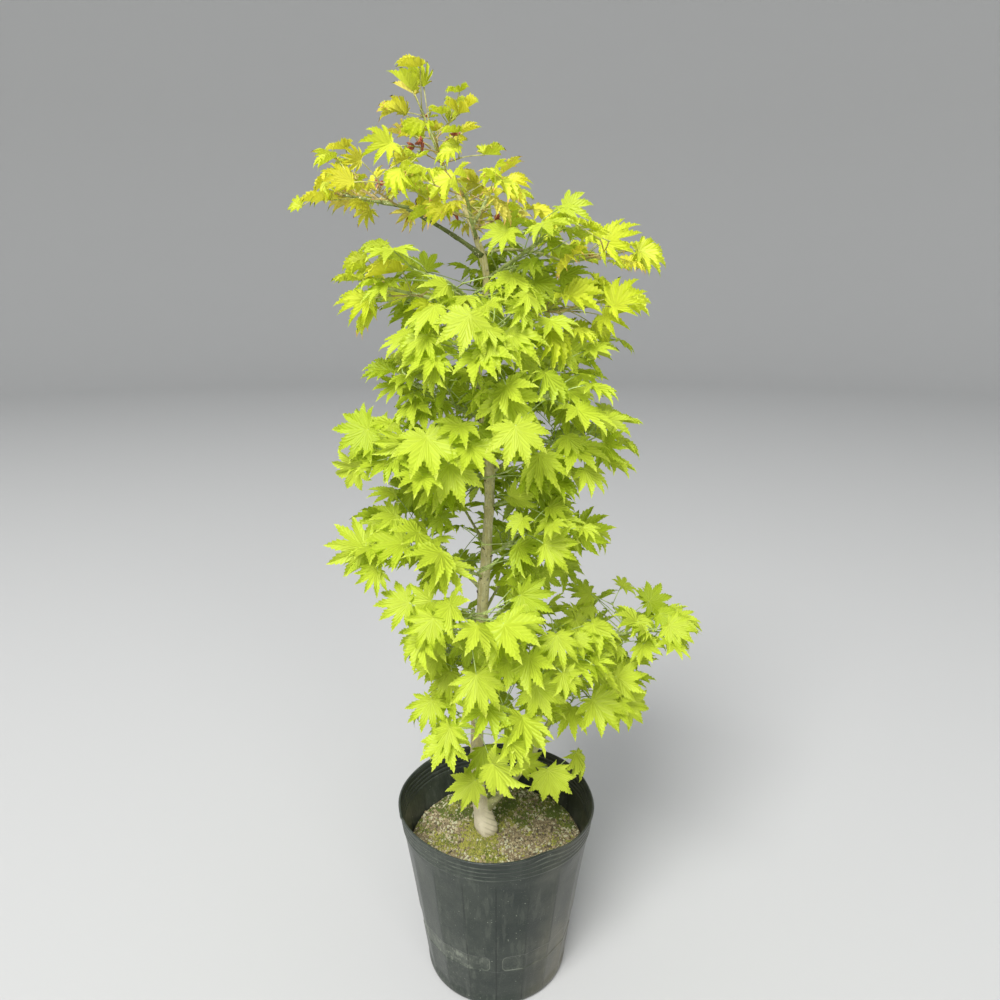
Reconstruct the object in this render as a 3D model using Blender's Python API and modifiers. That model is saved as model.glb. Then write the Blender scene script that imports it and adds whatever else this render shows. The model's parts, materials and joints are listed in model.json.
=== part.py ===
"""A young golden maple in a thin black nursery pot.

The pot, its soil, the trunk, each bough and each mass of leaves are solids of their own.
Metres, +Z up, with the origin at the middle of the pot's underside. Compass angles are
degrees seen from above: 0 is right, 90 is the back, 180 is left and 270 is the front.
"""

import math
import random
from collections import namedtuple

import bmesh
import bpy
from mathutils import Matrix, Vector
from mathutils.bvhtree import BVHTree

# Clearance between solids that touch on the real plant, and least one at a limb's slanting end
GAP = 0.0003
END_GAP = 0.00015

# Pot: a blow-moulded cone with ridges under its rim and a stepped foot band
POT_HEIGHT = 0.202
POT_TOP_RADIUS = 0.105
POT_BASE_RADIUS = 0.0775
POT_WALL = 0.0015
POT_FLOOR = 0.0020
POT_EDGE_ROUND = 0.005
RIM_LIP = 0.0012
RIDGE_COUNT = 3
RIDGE_PITCH = 0.0085
RIDGE_DEPTH = 0.0009
RIDGE_FIRST = 0.010
RIDGE_FORM = ((0, 0), (0.3, 1), (0.7, 1))
BAND_TOP = 0.072
BAND_STEP = 0.0008
POT_SIDES = 32

# Soil: a shallow mound with a flat seat under the trunk. Its form is (share of the pot's top
# radius, share of the fall from the seat to the edge)
SOIL_LEVEL = 0.157
SOIL_EDGE = 0.148
SEAT_RADIUS = 0.022
MOUND_FORM = ((0.45, 0.1), (0.68, 0.4))

# Trunk: its course as (height, right, back), and its taper
TRUNK_COURSE = (
    (0.157, -0.0110, 0.000),
    (0.210, -0.0202, 0.002),
    (0.290, -0.0205, 0.003),
    (0.390, -0.0165, 0.001),
    (0.500, -0.0088, -0.001),
    (0.575, -0.0065, 0.000),
    (0.668, -0.0169, 0.002),
    (0.752, -0.0089, 0.002),
    (0.790, -0.0190, 0.001),
    (0.815, -0.0300, 0.000),
    (0.838, -0.0425, 0.000),
)
TRUNK_BUTT_RADIUS = 0.0078
TRUNK_TIP_RADIUS = 0.0018
TRUNK_TAPER = 0.85
FLARE_RADIUS = 0.0055
FLARE_HEIGHT = 0.018
FLARE_STATIONS = (0, 0.004, 0.010, 0.018, 0.030)
TRUNK_STEP = 0.026
TRUNK_SIDES = 10
TANGENT_STEP = 0.004
BOUGH_SIDES = 6
BOUGH_STEPS = 4
BOUGH_BEND = 0.45

# Leaf: lobes as (angle from the middle lobe, length), sinuses as (angle, depth); 1 is half the span
LOBES = ((0, 1.00), (38, 0.98), (76, 0.86), (122, 0.62))
SINUSES = ((19, 0.55), (57, 0.53), (99, 0.42))
NOTCH_DEPTH = 0.14
LEAF_THICKNESS = 0.0013
LOBE_DROOP = 0.24
STALK_RADIUS = 0.0010
STALK_ROOT_RADIUS = 0.0006
TWIG_RADIUS = 0.0013
STEM_RADIUS = 0.0026
STEM_KNEE_RADIUS = 0.0023
STEM_TIP_RADIUS = 0.0018

# Growth rule of a mass: opposite pairs of leaves up a stem, every second pair upright
KNEE = 0.004
PAIR_SPREAD = 58
PAIR_LIFT = 0.2
PAIR_SHRINK = 0.2
UPRIGHT_ALONG = 0.7
UPRIGHT_ACROSS = 0.35
UPRIGHT_LIFT = 0.5

# Side shoots: where the first leaves the stem, how far on the next does, and how they run
SHOOT_FIRST = 0.08
SHOOT_STEP = 0.22
SHOOT_SPREAD = 46
SHOOT_LENGTH = 0.60
SHOOT_LEAF_SIZE = 0.94
SPREAD_RANGE = (0.8, 1.25)
CLIMB_RANGE = (-0.15, 0.45)
LENGTH_RANGE = (0.75, 1.1)

# A leaf hangs outwards, turned a little to the light, with its stalk on its underside
STALK_SHARE = (0.38, 0.72)
SPAN_RANGE = (0.88, 1.08)
OUTWARD_PULL = 0.6
DROOP_RANGE = 14
LIGHT_PULL = 0.45
FACE_RANGE = 0.18
UNDERSIDE = 0.38
UNDERSIDE_TURN = 1.4

# Each try at a leaf strays further, and has to find free room in its mass's own space
LEAF_TRIES = 18
STRAY = 0.16
STRAY_MORE = 0.03
REACH_SHARE = 1.05
CLEAR_GROWTH = 1.03
CLEAR_THICKNESS = 0.0022
ROOTED_SHARE = 0.3

# A limb leaves its parent at a station: a height on the trunk, or a share of a bough's length.
# It sets off at a climb and ends at a reach and a rise from there.
Limb = namedtuple("Limb", "name parent station compass climb reach rise butt tip")
LIMBS = (
    Limb("bough_foot_right", "trunk", 0.182, 6, 42, 0.088, 0.150, 0.0042, 0.0030),
    Limb("bough_foot_outer", "bough_foot_right", 0.88, 6, 46, 0.056, 0.072, 0.0021, 0.0018),
    Limb("bough_foot_low", "bough_foot_right", 0.46, 282, 24, 0.022, 0.008, 0.0020, 0.0017),
    Limb("bough_foot_back", "bough_foot_right", 0.74, 70, 25, 0.045, 0.024, 0.0020, 0.0017),
    Limb("bough_skirt_front", "trunk", 0.306, 270, 35, 0.044, 0.028, 0.0024, 0.0018),
    Limb("bough_skirt_back", "trunk", 0.315, 98, 32, 0.045, 0.026, 0.0024, 0.0018),
    Limb("bough_waist_front", "trunk", 0.392, 262, 42, 0.040, 0.042, 0.0023, 0.0018),
    Limb("bough_waist_right", "trunk", 0.368, 322, 32, 0.046, 0.030, 0.0023, 0.0018),
    Limb("bough_waist_back", "trunk", 0.412, 62, 35, 0.046, 0.028, 0.0024, 0.0018),
    Limb("bough_low_left", "trunk", 0.444, 202, 44, 0.046, 0.054, 0.0024, 0.0018),
    Limb("bough_low_back", "trunk", 0.490, 122, 34, 0.046, 0.030, 0.0023, 0.0018),
    Limb("bough_middle_left", "trunk", 0.588, 213, 30, 0.044, 0.012, 0.0023, 0.0018),
    Limb("bough_middle_right", "trunk", 0.566, 347, 38, 0.052, 0.032, 0.0023, 0.0018),
    Limb("bough_middle_front", "trunk", 0.622, 304, 34, 0.052, 0.024, 0.0022, 0.0017),
    Limb("bough_middle_back", "trunk", 0.580, 68, 34, 0.048, 0.032, 0.0023, 0.0018),
    Limb("bough_shoulder_left", "trunk", 0.672, 200, 46, 0.046, 0.058, 0.0024, 0.0018),
    Limb("bough_shoulder_right", "trunk", 0.684, 346, 40, 0.046, 0.034, 0.0022, 0.0017),
    Limb("bough_shoulder_front", "trunk", 0.650, 262, 38, 0.046, 0.030, 0.0021, 0.0017),
    Limb("bough_shoulder_back", "trunk", 0.668, 112, 38, 0.046, 0.034, 0.0021, 0.0017),
    Limb("bough_upper_left", "trunk", 0.770, 188, 36, 0.068, 0.040, 0.0024, 0.0017),
    Limb("bough_upper_right", "trunk", 0.772, 357, 16, 0.073, -0.006, 0.0021, 0.0016),
)

# A mass of leaves grows on from its parent's tip, or from the trunk's bark at a height. pairs are
# the pairs of leaves on its stem, and shoots the side shoots that end in a pair. span is the width
# of its largest leaves, and droop how far they hang below level.
Mass = namedtuple("Mass", "name parent height compass climb length pairs shoots span droop seed")
MASSES = (
    Mass("leaves_crown_tip", "trunk", None, 182, 68, 0.054, 3, 4, 0.062, 28, 208),
    Mass("leaves_upper_left", "bough_upper_left", None, 184, 10, 0.052, 3, 4, 0.066, 34, 207),
    Mass("leaves_upper_right", "bough_upper_right", None, 358, 10, 0.050, 3, 3, 0.066, 34, 107),
    Mass("leaves_upper_back", "trunk", 0.796, 72, 34, 0.056, 3, 2, 0.070, 26, 245),
    Mass("leaves_upper_front", "trunk", 0.786, 262, 30, 0.050, 3, 2, 0.068, 42, 203),
    Mass("leaves_neck_right", "trunk", 0.750, 322, 26, 0.058, 3, 2, 0.072, 40, 21),
    Mass("leaves_neck_left", "trunk", 0.722, 232, 26, 0.052, 2, 2, 0.072, 38, 25),
    Mass("leaves_neck_back", "trunk", 0.728, 62, 30, 0.060, 3, 2, 0.074, 28, 238),
    Mass("leaves_shoulder_left", "bough_shoulder_left", None, 188, 12, 0.044, 3, 3, 0.072, 26, 251),
    Mass("leaves_shoulder_right", "bough_shoulder_right", None, 348, 4, 0.048, 3, 3, 0.074, 34, 242),
    Mass("leaves_shoulder_front", "bough_shoulder_front", None, 262, 14, 0.050, 3, 3, 0.074, 44, 155),
    Mass("leaves_shoulder_back", "bough_shoulder_back", None, 112, 20, 0.050, 3, 3, 0.076, 30, 214),
    Mass("leaves_breast_right", "trunk", 0.632, 350, 26, 0.088, 3, 2, 0.074, 40, 206),
    Mass("leaves_middle_left", "bough_middle_left", None, 208, -2, 0.046, 3, 3, 0.076, 38, 231),
    Mass("leaves_middle_right", "bough_middle_right", None, 344, -6, 0.044, 3, 2, 0.074, 40, 126),
    Mass("leaves_middle_front", "bough_middle_front", None, 302, 4, 0.048, 3, 3, 0.074, 46, 210),
    Mass("leaves_middle_back", "bough_middle_back", None, 68, 14, 0.052, 3, 3, 0.078, 32, 21),
    Mass("leaves_breast_left", "trunk", 0.618, 206, 28, 0.058, 2, 2, 0.070, 36, 25),
    Mass("leaves_belly_left", "trunk", 0.560, 218, 24, 0.050, 2, 2, 0.072, 44, 155),
    Mass("leaves_belly_right", "trunk", 0.532, 326, 24, 0.050, 2, 2, 0.070, 42, 207),
    Mass("leaves_low_left", "bough_low_left", None, 192, 6, 0.044, 3, 3, 0.074, 28, 233),
    Mass("leaves_low_front", "trunk", 0.458, 232, 28, 0.040, 2, 2, 0.068, 40, 24),
    Mass("leaves_low_right", "trunk", 0.482, 330, 28, 0.072, 3, 2, 0.074, 38, 28),
    Mass("leaves_low_back", "bough_low_back", None, 122, 12, 0.052, 3, 3, 0.078, 34, 35),
    Mass("leaves_waist_front", "bough_waist_front", None, 262, -2, 0.042, 3, 2, 0.076, 54, 204),
    Mass("leaves_waist_left", "trunk", 0.362, 228, 32, 0.040, 2, 1, 0.070, 48, 256),
    Mass("leaves_waist_right", "bough_waist_right", None, 324, 4, 0.044, 3, 3, 0.074, 44, 231),
    Mass("leaves_waist_back", "bough_waist_back", None, 60, 12, 0.052, 3, 3, 0.078, 36, 218),
    Mass("leaves_skirt_front", "bough_skirt_front", None, 272, -4, 0.042, 3, 3, 0.076, 56, 253),
    Mass("leaves_skirt_back", "bough_skirt_back", None, 102, 6, 0.050, 3, 3, 0.078, 40, 254),
    Mass("leaves_foot_front", "trunk", 0.232, 288, 30, 0.044, 2, 1, 0.072, 58, 223),
    Mass("leaves_foot_right", "bough_foot_right", None, 342, -4, 0.048, 3, 3, 0.072, 40, 213),
    Mass("leaves_foot_outer", "bough_foot_outer", None, 2, 8, 0.044, 3, 4, 0.064, 18, 20),
    Mass("leaves_foot_low", "bough_foot_low", None, 294, 2, 0.034, 2, 2, 0.068, 50, 222),
    Mass("leaves_foot_back", "bough_foot_back", None, 58, 10, 0.046, 3, 2, 0.074, 34, 24),
)

# Leaves are gold above this height, green round the shaded back, and lime elsewhere
GOLD_ABOVE = 0.76
SHADED_COMPASS = (40, 140)
LEAF_COLOURS = {
    "gold": (0.78, 0.80, 0.06),
    "lime": (0.52, 0.74, 0.07),
    "green": (0.30, 0.50, 0.04),
}
BARK_COLOUR = (0.36, 0.31, 0.20)
BOUGH_COLOUR = (0.27, 0.30, 0.12)
SOIL_COLOUR = (0.25, 0.20, 0.12)
POT_COLOUR = (0.022, 0.026, 0.026)

FRONT = Vector((0, -1, 0))
UP = Vector((0, 0, 1))


def clear_scene():
    for old in list(bpy.data.objects):
        bpy.data.objects.remove(old)


def new_collection(name):
    made = bpy.data.collections.new(name)
    bpy.context.scene.collection.children.link(made)
    return made


def finish(name, colour, roughness):
    """A plain Principled material."""
    material = bpy.data.materials.new(name)
    material.use_nodes = True
    shader = material.node_tree.nodes["Principled BSDF"]
    shader.inputs["Base Color"].default_value = (*colour, 1)
    shader.inputs["Roughness"].default_value = roughness
    shader.inputs["Metallic"].default_value = 0.0
    return material


def add_mesh(name, bm, collection, material=None):
    mesh = bpy.data.meshes.new(name)
    bm.to_mesh(mesh)
    bm.free()
    obj = bpy.data.objects.new(name, mesh)
    collection.objects.link(obj)
    if material:
        mesh.materials.append(material)
    return obj


def evaluated_mesh(obj):
    graph = bpy.context.evaluated_depsgraph_get()
    return bpy.data.meshes.new_from_object(obj.evaluated_get(graph))


def heading(compass, climb=0):
    """The unit vector along a compass angle that climbs by an angle, both in degrees."""
    a, e = math.radians(compass), math.radians(climb)
    return Vector((math.cos(a) * math.cos(e), math.sin(a) * math.cos(e), math.sin(e)))


# Pot and soil


def pot_radius(height):
    share = height / POT_HEIGHT
    return POT_BASE_RADIUS + (POT_TOP_RADIUS - POT_BASE_RADIUS) * share


def pot_inner_radius(height):
    return pot_radius(height) - BAND_STEP - POT_WALL


def pot_inner_foot():
    """The radius of the pot's flat floor, inside its rounded corner."""
    return pot_inner_radius(POT_EDGE_ROUND) - POT_EDGE_ROUND / 2


def outer_wall():
    """(radius, height) down the outside of the pot, from under the lip to the rounded foot."""
    wall = [(POT_TOP_RADIUS, POT_HEIGHT - POT_WALL)]
    for i in range(RIDGE_COUNT):
        top = POT_HEIGHT - RIDGE_FIRST - i * RIDGE_PITCH
        for drop, inset in RIDGE_FORM:
            height = top - drop * RIDGE_PITCH
            wall.append((pot_radius(height) - inset * RIDGE_DEPTH, height))
    last = POT_HEIGHT - RIDGE_FIRST - RIDGE_COUNT * RIDGE_PITCH
    wall.append((pot_radius(last), last))
    wall.append((pot_radius(BAND_TOP), BAND_TOP))
    wall.append((pot_radius(BAND_TOP) - BAND_STEP, BAND_TOP - 2 * BAND_STEP))
    for angle in (0, 45, 90):
        a = math.radians(angle)
        centre = pot_radius(POT_EDGE_ROUND) - BAND_STEP - POT_EDGE_ROUND
        wall.append(
            (centre + POT_EDGE_ROUND * math.cos(a), POT_EDGE_ROUND * (1 - math.sin(a)))
        )
    return wall


def turned(name, profile, collection, material):
    """The solid of a turned profile of (radius, height), from the axis above to the axis below."""
    bm = bmesh.new()
    line = [bm.verts.new((radius, 0, height)) for radius, height in profile]
    for a, b in zip(line, line[1:]):
        bm.edges.new((a, b))
    obj = add_mesh(name, bm, collection, material)
    screw = obj.modifiers.new("turn", "SCREW")
    screw.axis = "Z"
    screw.steps = screw.render_steps = POT_SIDES
    screw.use_merge_vertices = True
    screw.merge_threshold = 0.00002
    return obj


def make_pot(collection):
    lip = [
        (pot_radius(POT_HEIGHT) - 2 * POT_WALL, POT_HEIGHT - 2 * POT_WALL),
        (POT_TOP_RADIUS - POT_WALL, POT_HEIGHT),
        (POT_TOP_RADIUS - POT_WALL + RIM_LIP, POT_HEIGHT),
    ]
    inner_top = POT_HEIGHT - RIDGE_FIRST
    profile = [
        (0, POT_FLOOR),
        (pot_inner_foot(), POT_FLOOR),
        (pot_inner_radius(POT_EDGE_ROUND), POT_FLOOR + POT_EDGE_ROUND),
        (pot_inner_radius(inner_top), inner_top),
        *lip,
        *outer_wall(),
        (0, 0),
    ]
    return turned("pot", profile, collection, finish("pot_plastic", POT_COLOUR, 0.42))


def make_soil(collection):
    """The root ball's soil, a hair clear of the pot, mounded round a flat seat."""
    seat = SOIL_LEVEL - GAP
    fall = SOIL_LEVEL - SOIL_EDGE
    profile = [
        (0, seat),
        (SEAT_RADIUS, seat),
        *((out * POT_TOP_RADIUS, seat - down * fall) for out, down in MOUND_FORM),
        (pot_inner_radius(SOIL_EDGE) - GAP, SOIL_EDGE),
        (pot_inner_radius(POT_EDGE_ROUND) - GAP, POT_FLOOR + POT_EDGE_ROUND + GAP),
        (pot_inner_foot() - GAP, POT_FLOOR + GAP),
        (0, POT_FLOOR + GAP),
    ]
    return turned("soil", profile, collection, finish("soil", SOIL_COLOUR, 0.95))


# Trunk and boughs


def smooth_between(stations, at):
    """The value at one place of a smooth curve through stations, each (place, value)."""
    last = len(stations) - 1
    i = max(k for k in range(last) if stations[k][0] <= at or k == 0)
    (x0, p0), (x1, p1) = stations[i], stations[i + 1]
    before = stations[max(i - 1, 0)]
    after = stations[min(i + 2, last)]
    slope0 = (p1 - before[1]) / (x1 - before[0])
    slope1 = (after[1] - p0) / (after[0] - x0)
    width = x1 - x0
    t = min(max((at - x0) / width, 0), 1)
    return (
        p0 * (2 * t**3 - 3 * t**2 + 1)
        + slope0 * width * (t**3 - 2 * t**2 + t)
        + p1 * (3 * t**2 - 2 * t**3)
        + slope1 * width * (t**3 - t**2)
    )


def trunk_centre(height):
    stations = [(z, Vector((x, y, z))) for z, x, y in TRUNK_COURSE]
    return smooth_between(stations, height)


def trunk_radius(height):
    foot, top = TRUNK_COURSE[0][0], TRUNK_COURSE[-1][0]
    left = max(top - height, 0) / (top - foot)
    flare = FLARE_RADIUS * math.exp(-(height - foot) / FLARE_HEIGHT)
    taper = (TRUNK_BUTT_RADIUS - TRUNK_TIP_RADIUS) * left**TRUNK_TAPER
    return TRUNK_TIP_RADIUS + taper + flare


def trunk_path():
    """(centre, radius) up the trunk, closer together in the flare. The foot runs straight up."""
    foot, top = TRUNK_COURSE[0][0], TRUNK_COURSE[-1][0]
    heights = [foot + station for station in FLARE_STATIONS]
    steps = round((top - heights[-1]) / TRUNK_STEP)
    heights += [heights[-1] + (top - heights[-1]) * (i + 1) / steps for i in range(steps)]
    path = [(trunk_centre(z), trunk_radius(z)) for z in heights]
    path[0][0].xy = path[1][0].xy
    return path


def limb_path(limb, parent):
    """(centre, radius) along a bough that starts clear of its parent's bark."""
    centre, tangent, thickness = station_on(limb.parent, parent, limb.station)
    outward = heading(limb.compass, limb.climb)
    start = clear_of(centre, tangent, thickness, outward, limb.butt)
    tip = centre + heading(limb.compass) * limb.reach + UP * limb.rise
    bend = start + outward * BOUGH_BEND * (tip - start).length
    path = []
    for i in range(BOUGH_STEPS + 1):
        t = i / BOUGH_STEPS
        point = start * (1 - t) ** 2 + bend * 2 * t * (1 - t) + tip * t * t
        path.append((point, limb.butt + (limb.tip - limb.butt) * t))
    return path


def clear_of(centre, tangent, thickness, outward, radius):
    """Where a round limb that heads outward starts, with its flat end clear of its parent's bark."""
    along = abs(outward.dot(tangent))
    across = math.sqrt(1 - along * along)
    return centre + outward * (thickness + END_GAP + radius * along) / across


def station_on(name, path, station):
    """(centre, tangent, radius) of a parent limb at a height, or at a share of its length."""
    if name == "trunk":
        below, above = trunk_centre(station - TANGENT_STEP), trunk_centre(station + TANGENT_STEP)
        return trunk_centre(station), (above - below).normalized(), trunk_radius(below.z)
    place = station * (len(path) - 1)
    i = min(int(place), len(path) - 2)
    (a, ra), (b, rb) = path[i], path[i + 1]
    share = place - i
    return a.lerp(b, share), (b - a).normalized(), ra + (rb - ra) * share


def make_limb(name, path, collection, material, sides):
    """A tapering tube along the path, with flat ends."""
    data = bpy.data.curves.new(name, "CURVE")
    data.dimensions = "3D"
    data.bevel_depth = 1.0
    data.bevel_resolution = sides // 2 - 2
    data.use_fill_caps = True
    spline = data.splines.new("POLY")
    spline.points.add(len(path) - 1)
    for point, (centre, radius) in zip(spline.points, path):
        point.co = (*centre, 1)
        point.radius = radius
    data.materials.append(material)
    obj = bpy.data.objects.new(name, data)
    collection.objects.link(obj)
    return obj


# Leaves and twigs


def leaf_outline(span):
    """(x, y, z) round a leaf that points along +X from its stalk, lobe tip and sinus in turn."""
    half = span / 2
    right = [(angle, length) for pair in zip(LOBES, SINUSES) for angle, length in pair]
    right.append(LOBES[-1])
    left = [(-angle, length) for angle, length in reversed(right[1:])]
    outline = []
    for angle, length in [*right, (180, NOTCH_DEPTH), *left]:
        a = math.radians(angle)
        fall = LOBE_DROOP * half * length**2
        outline.append(Vector((half * length * math.cos(a), half * length * math.sin(a), -fall)))
    return outline


def blade_solid(span, thickness, stalk_radius=None):
    """A closed blade, thin at its lobed edge. With a stalk radius its underside is left open there."""
    outline = leaf_outline(span)
    bm = bmesh.new()
    bmesh.ops.create_cone(
        bm,
        cap_ends=stalk_radius is None,
        cap_tris=True,
        segments=len(outline),
        radius1=1,
        radius2=0,
        depth=thickness,
    )
    edge = [v for v in bm.verts if v.co.xy.length > 0.5]
    edge.sort(key=lambda v: math.atan2(v.co.y, v.co.x) % math.tau)
    for vertex, place in zip(edge, outline):
        vertex.co = place
    if stalk_radius:
        rim = [e for e in bm.edges if e.is_boundary]
        under = Matrix.Translation((0, 0, -thickness))
        ring = bmesh.ops.create_circle(bm, segments=3, radius=stalk_radius, matrix=under)
        mouth = {e for v in ring["verts"] for e in v.link_edges}
        bmesh.ops.bridge_loops(bm, edges=[*rim, *mouth])
    return bm


def leaf_matrix(leaf):
    """The placing matrix of a leaf: X along its middle lobe, Z out of its upper face."""
    side = leaf.normal.cross(leaf.axis).normalized()
    turn = Matrix((leaf.axis, side, leaf.normal)).transposed().to_4x4()
    return Matrix.Translation(leaf.base) @ turn


def leaf_solid(leaf):
    """A blade whose underside runs down into a three-sided stalk that roots at its node."""
    place = leaf_matrix(leaf)
    bm = blade_solid(leaf.span, LEAF_THICKNESS, STALK_RADIUS)
    mouth = [e for e in bm.edges if all(v.co.xy.length < 1.5 * STALK_RADIUS for v in e.verts)]
    mouth = [e for e in mouth if e.is_boundary]
    drawn = bmesh.ops.extrude_edge_only(bm, edges=mouth)["geom"]
    root = [g for g in drawn if isinstance(g, bmesh.types.BMVert)]
    middle = sum((v.co for v in root), Vector()) / len(root)
    narrow = STALK_ROOT_RADIUS / STALK_RADIUS
    bmesh.ops.scale(bm, vec=[narrow] * 3, space=Matrix.Translation(-middle), verts=root)
    bmesh.ops.translate(bm, vec=place.inverted() @ leaf.node - middle, verts=root)
    bmesh.ops.contextual_create(bm, geom=[e for e in bm.edges if e.is_boundary])
    bmesh.ops.recalc_face_normals(bm, faces=bm.faces)
    bmesh.ops.transform(bm, matrix=place, verts=bm.verts)
    return bm


def twig_solid(start, end, butt, tip):
    """A three-sided taper between two points."""
    along = end - start
    bm = bmesh.new()
    place = Matrix.Translation((start + end) / 2) @ along.to_track_quat("Z", "X").to_matrix().to_4x4()
    bmesh.ops.create_cone(
        bm,
        cap_ends=True,
        segments=3,
        radius1=butt,
        radius2=tip,
        depth=along.length,
        matrix=place,
    )
    return bm


Twig = namedtuple("Twig", "start end butt tip")
Leaf = namedtuple("Leaf", "node base axis normal span")


class Crowd:
    """Solids that a new leaf or twig has to stay clear of, each with the mass that it belongs to."""

    def __init__(self):
        self.trees = []

    def add(self, bm, owner=None):
        self.trees.append((BVHTree.FromBMesh(bm), owner))
        bm.free()

    def touches(self, bm, but=""):
        tree = BVHTree.FromBMesh(bm)
        return any(tree.overlap(other) for other, owner in self.trees if owner != but)


def clear_twig(twig):
    """The twig, a little thicker, as room to keep free round it."""
    return twig_solid(twig.start, twig.end, twig.butt + 2 * GAP, twig.tip + 2 * GAP)


def clear_blade(leaf):
    """The blade, a little larger and thicker, as room to keep free round it."""
    bm = blade_solid(leaf.span * CLEAR_GROWTH, CLEAR_THICKNESS)
    bmesh.ops.transform(bm, matrix=leaf_matrix(leaf), verts=bm.verts)
    return bm


def clear_stalk(leaf, rooted=0):
    """Room to keep free round a leaf's stalk, past the share of it that is rooted in its twig."""
    return clear_twig(Twig(leaf.node.lerp(leaf.base, rooted), leaf.base, STALK_RADIUS, STALK_RADIUS))


def aimed(stalk, outward, droop, rng):
    """(axis, normal) of a blade that hangs outwards, with its stalk on its underside."""
    fall = math.radians(droop)
    light = FRONT * LIGHT_PULL * (1 - max(outward.y, 0))
    face = UP * math.cos(fall) + outward * math.sin(fall) + light
    face += Vector([rng.uniform(-FACE_RANGE, FACE_RANGE) for _ in range(3)])
    face.normalize()
    short = UNDERSIDE - face.dot(stalk)
    if short > 0:
        face = (face + stalk * short * UNDERSIDE_TURN).normalized()
    axis = outward * math.cos(fall) - UP * math.sin(fall)
    axis = (axis - face * axis.dot(face)).normalized()
    return axis, face


def keeps_in(row, stem, bm):
    """Whether a blade stays in its mass's own space, a ball about the middle of the stem."""
    middle = (stem[0] + stem[1]) / 2
    room = row.length / 2 + REACH_SHARE * row.span
    return all((v.co - middle).length < room for v in bm.verts)


def grow_leaf(row, stem, node, side, size, rng, crowd, own):
    """Tries a leaf on a stalk out of a node until one finds free room. Returns it, or None."""
    for attempt in range(LEAF_TRIES):
        stray = STRAY + STRAY_MORE * attempt
        stalk = side + Vector([rng.uniform(-stray, stray) for _ in range(3)])
        stalk.normalize()
        span = row.span * size * rng.uniform(*SPAN_RANGE)
        base = node + stalk * span * rng.uniform(*STALK_SHARE)
        outward = Vector((stalk.x, stalk.y, 0)) + heading(row.compass) * OUTWARD_PULL
        droop = row.droop + rng.uniform(-DROOP_RANGE, DROOP_RANGE)
        leaf = Leaf(node, base, *aimed(stalk, outward.normalized(), droop, rng), span)
        blade, whole, free = clear_blade(leaf), clear_stalk(leaf), clear_stalk(leaf, ROOTED_SHARE)
        fits = keeps_in(row, stem, blade)
        fits = fits and not any(crowd.touches(x, row.name) for x in (blade, whole))
        fits = fits and not any(own.touches(x) for x in (blade, free))
        whole.free()
        if fits:
            own.add(blade)
            own.add(free)
            return leaf
        blade.free()
        free.free()
    return None


def grow_shoot(row, stem, start, end, pairs, size, rng, crowd, own):
    """Leaves in opposite pairs along a straight shoot, each pair a quarter turn from the last."""
    leaves = []
    along = (end - start).normalized()
    across = along.cross(UP).normalized()
    spread = math.radians(PAIR_SPREAD)
    for i in range(pairs):
        node = start.lerp(end, (i + 1) / pairs)
        shrink = 1 - PAIR_SHRINK * i / pairs
        for sign in (-1, 1):
            if (pairs - i) % 2:
                side = along * math.cos(spread) + across * sign * math.sin(spread) + UP * PAIR_LIFT
            else:
                side = along * UPRIGHT_ALONG + across * sign * UPRIGHT_ACROSS
                side += UP * (PAIR_LIFT + UPRIGHT_LIFT * sign)
            leaf = grow_leaf(row, stem, node, side.normalized(), size * shrink, rng, crowd, own)
            if leaf:
                leaves.append(leaf)
    return leaves


def stem_twigs(row, start, direction):
    """The two twigs of a mass's stem: a short foot in line with what carries it, and the rest."""
    onward = heading(row.compass, row.climb)
    knee = start + direction * KNEE
    end = knee + onward * (row.length + STALK_RADIUS)
    return [
        Twig(start, knee + direction * STEM_RADIUS / 2, STEM_RADIUS, STEM_RADIUS),
        Twig(knee, end, STEM_KNEE_RADIUS, STEM_TIP_RADIUS),
    ]


def side_shoot(row, stem, number, rng):
    """(node, tip) of a side shoot. Shoots leave the stem to the left and right by turns."""
    onward = heading(row.compass, row.climb)
    across = onward.cross(UP).normalized() * (1 if number % 2 else -1)
    node = stem[0].lerp(stem[1], SHOOT_FIRST + SHOOT_STEP * number)
    spread = math.radians(SHOOT_SPREAD * rng.uniform(*SPREAD_RANGE))
    way = onward * math.cos(spread) + across * math.sin(spread) + UP * rng.uniform(*CLIMB_RANGE)
    return node, node + way.normalized() * row.length * SHOOT_LENGTH * rng.uniform(*LENGTH_RANGE)


def grow_mass(row, twigs, crowd):
    """The twigs and leaves of one mass, grown along its stem by its seeded rule."""
    rng = random.Random(row.seed)
    twigs = list(twigs)
    knee = twigs[1].start
    stem = (knee, knee + heading(row.compass, row.climb) * row.length)
    own = Crowd()
    leaves = grow_shoot(row, stem, *stem, row.pairs, 1, rng, crowd, own)
    for number in range(row.shoots):
        node, tip = side_shoot(row, stem, number, rng)
        end = tip + (tip - node).normalized() * STALK_RADIUS
        shoot = Twig(node, end, TWIG_RADIUS, TWIG_RADIUS)
        free = shoot._replace(start=node.lerp(tip, ROOTED_SHARE))
        if crowd.touches(clear_twig(shoot), row.name) or own.touches(clear_twig(free)):
            continue
        own.add(clear_twig(free))
        found = grow_shoot(row, stem, node, tip, 1, SHOOT_LEAF_SIZE, rng, crowd, own)
        if found:
            twigs.append(shoot)
            leaves += found
    return twigs, leaves


def settle(twigs, leaves, crowd):
    """Adds a grown mass to what later leaves have to stay clear of."""
    for twig in twigs:
        crowd.add(clear_twig(twig))
    for leaf in leaves:
        crowd.add(clear_blade(leaf))
        crowd.add(clear_stalk(leaf))


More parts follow.
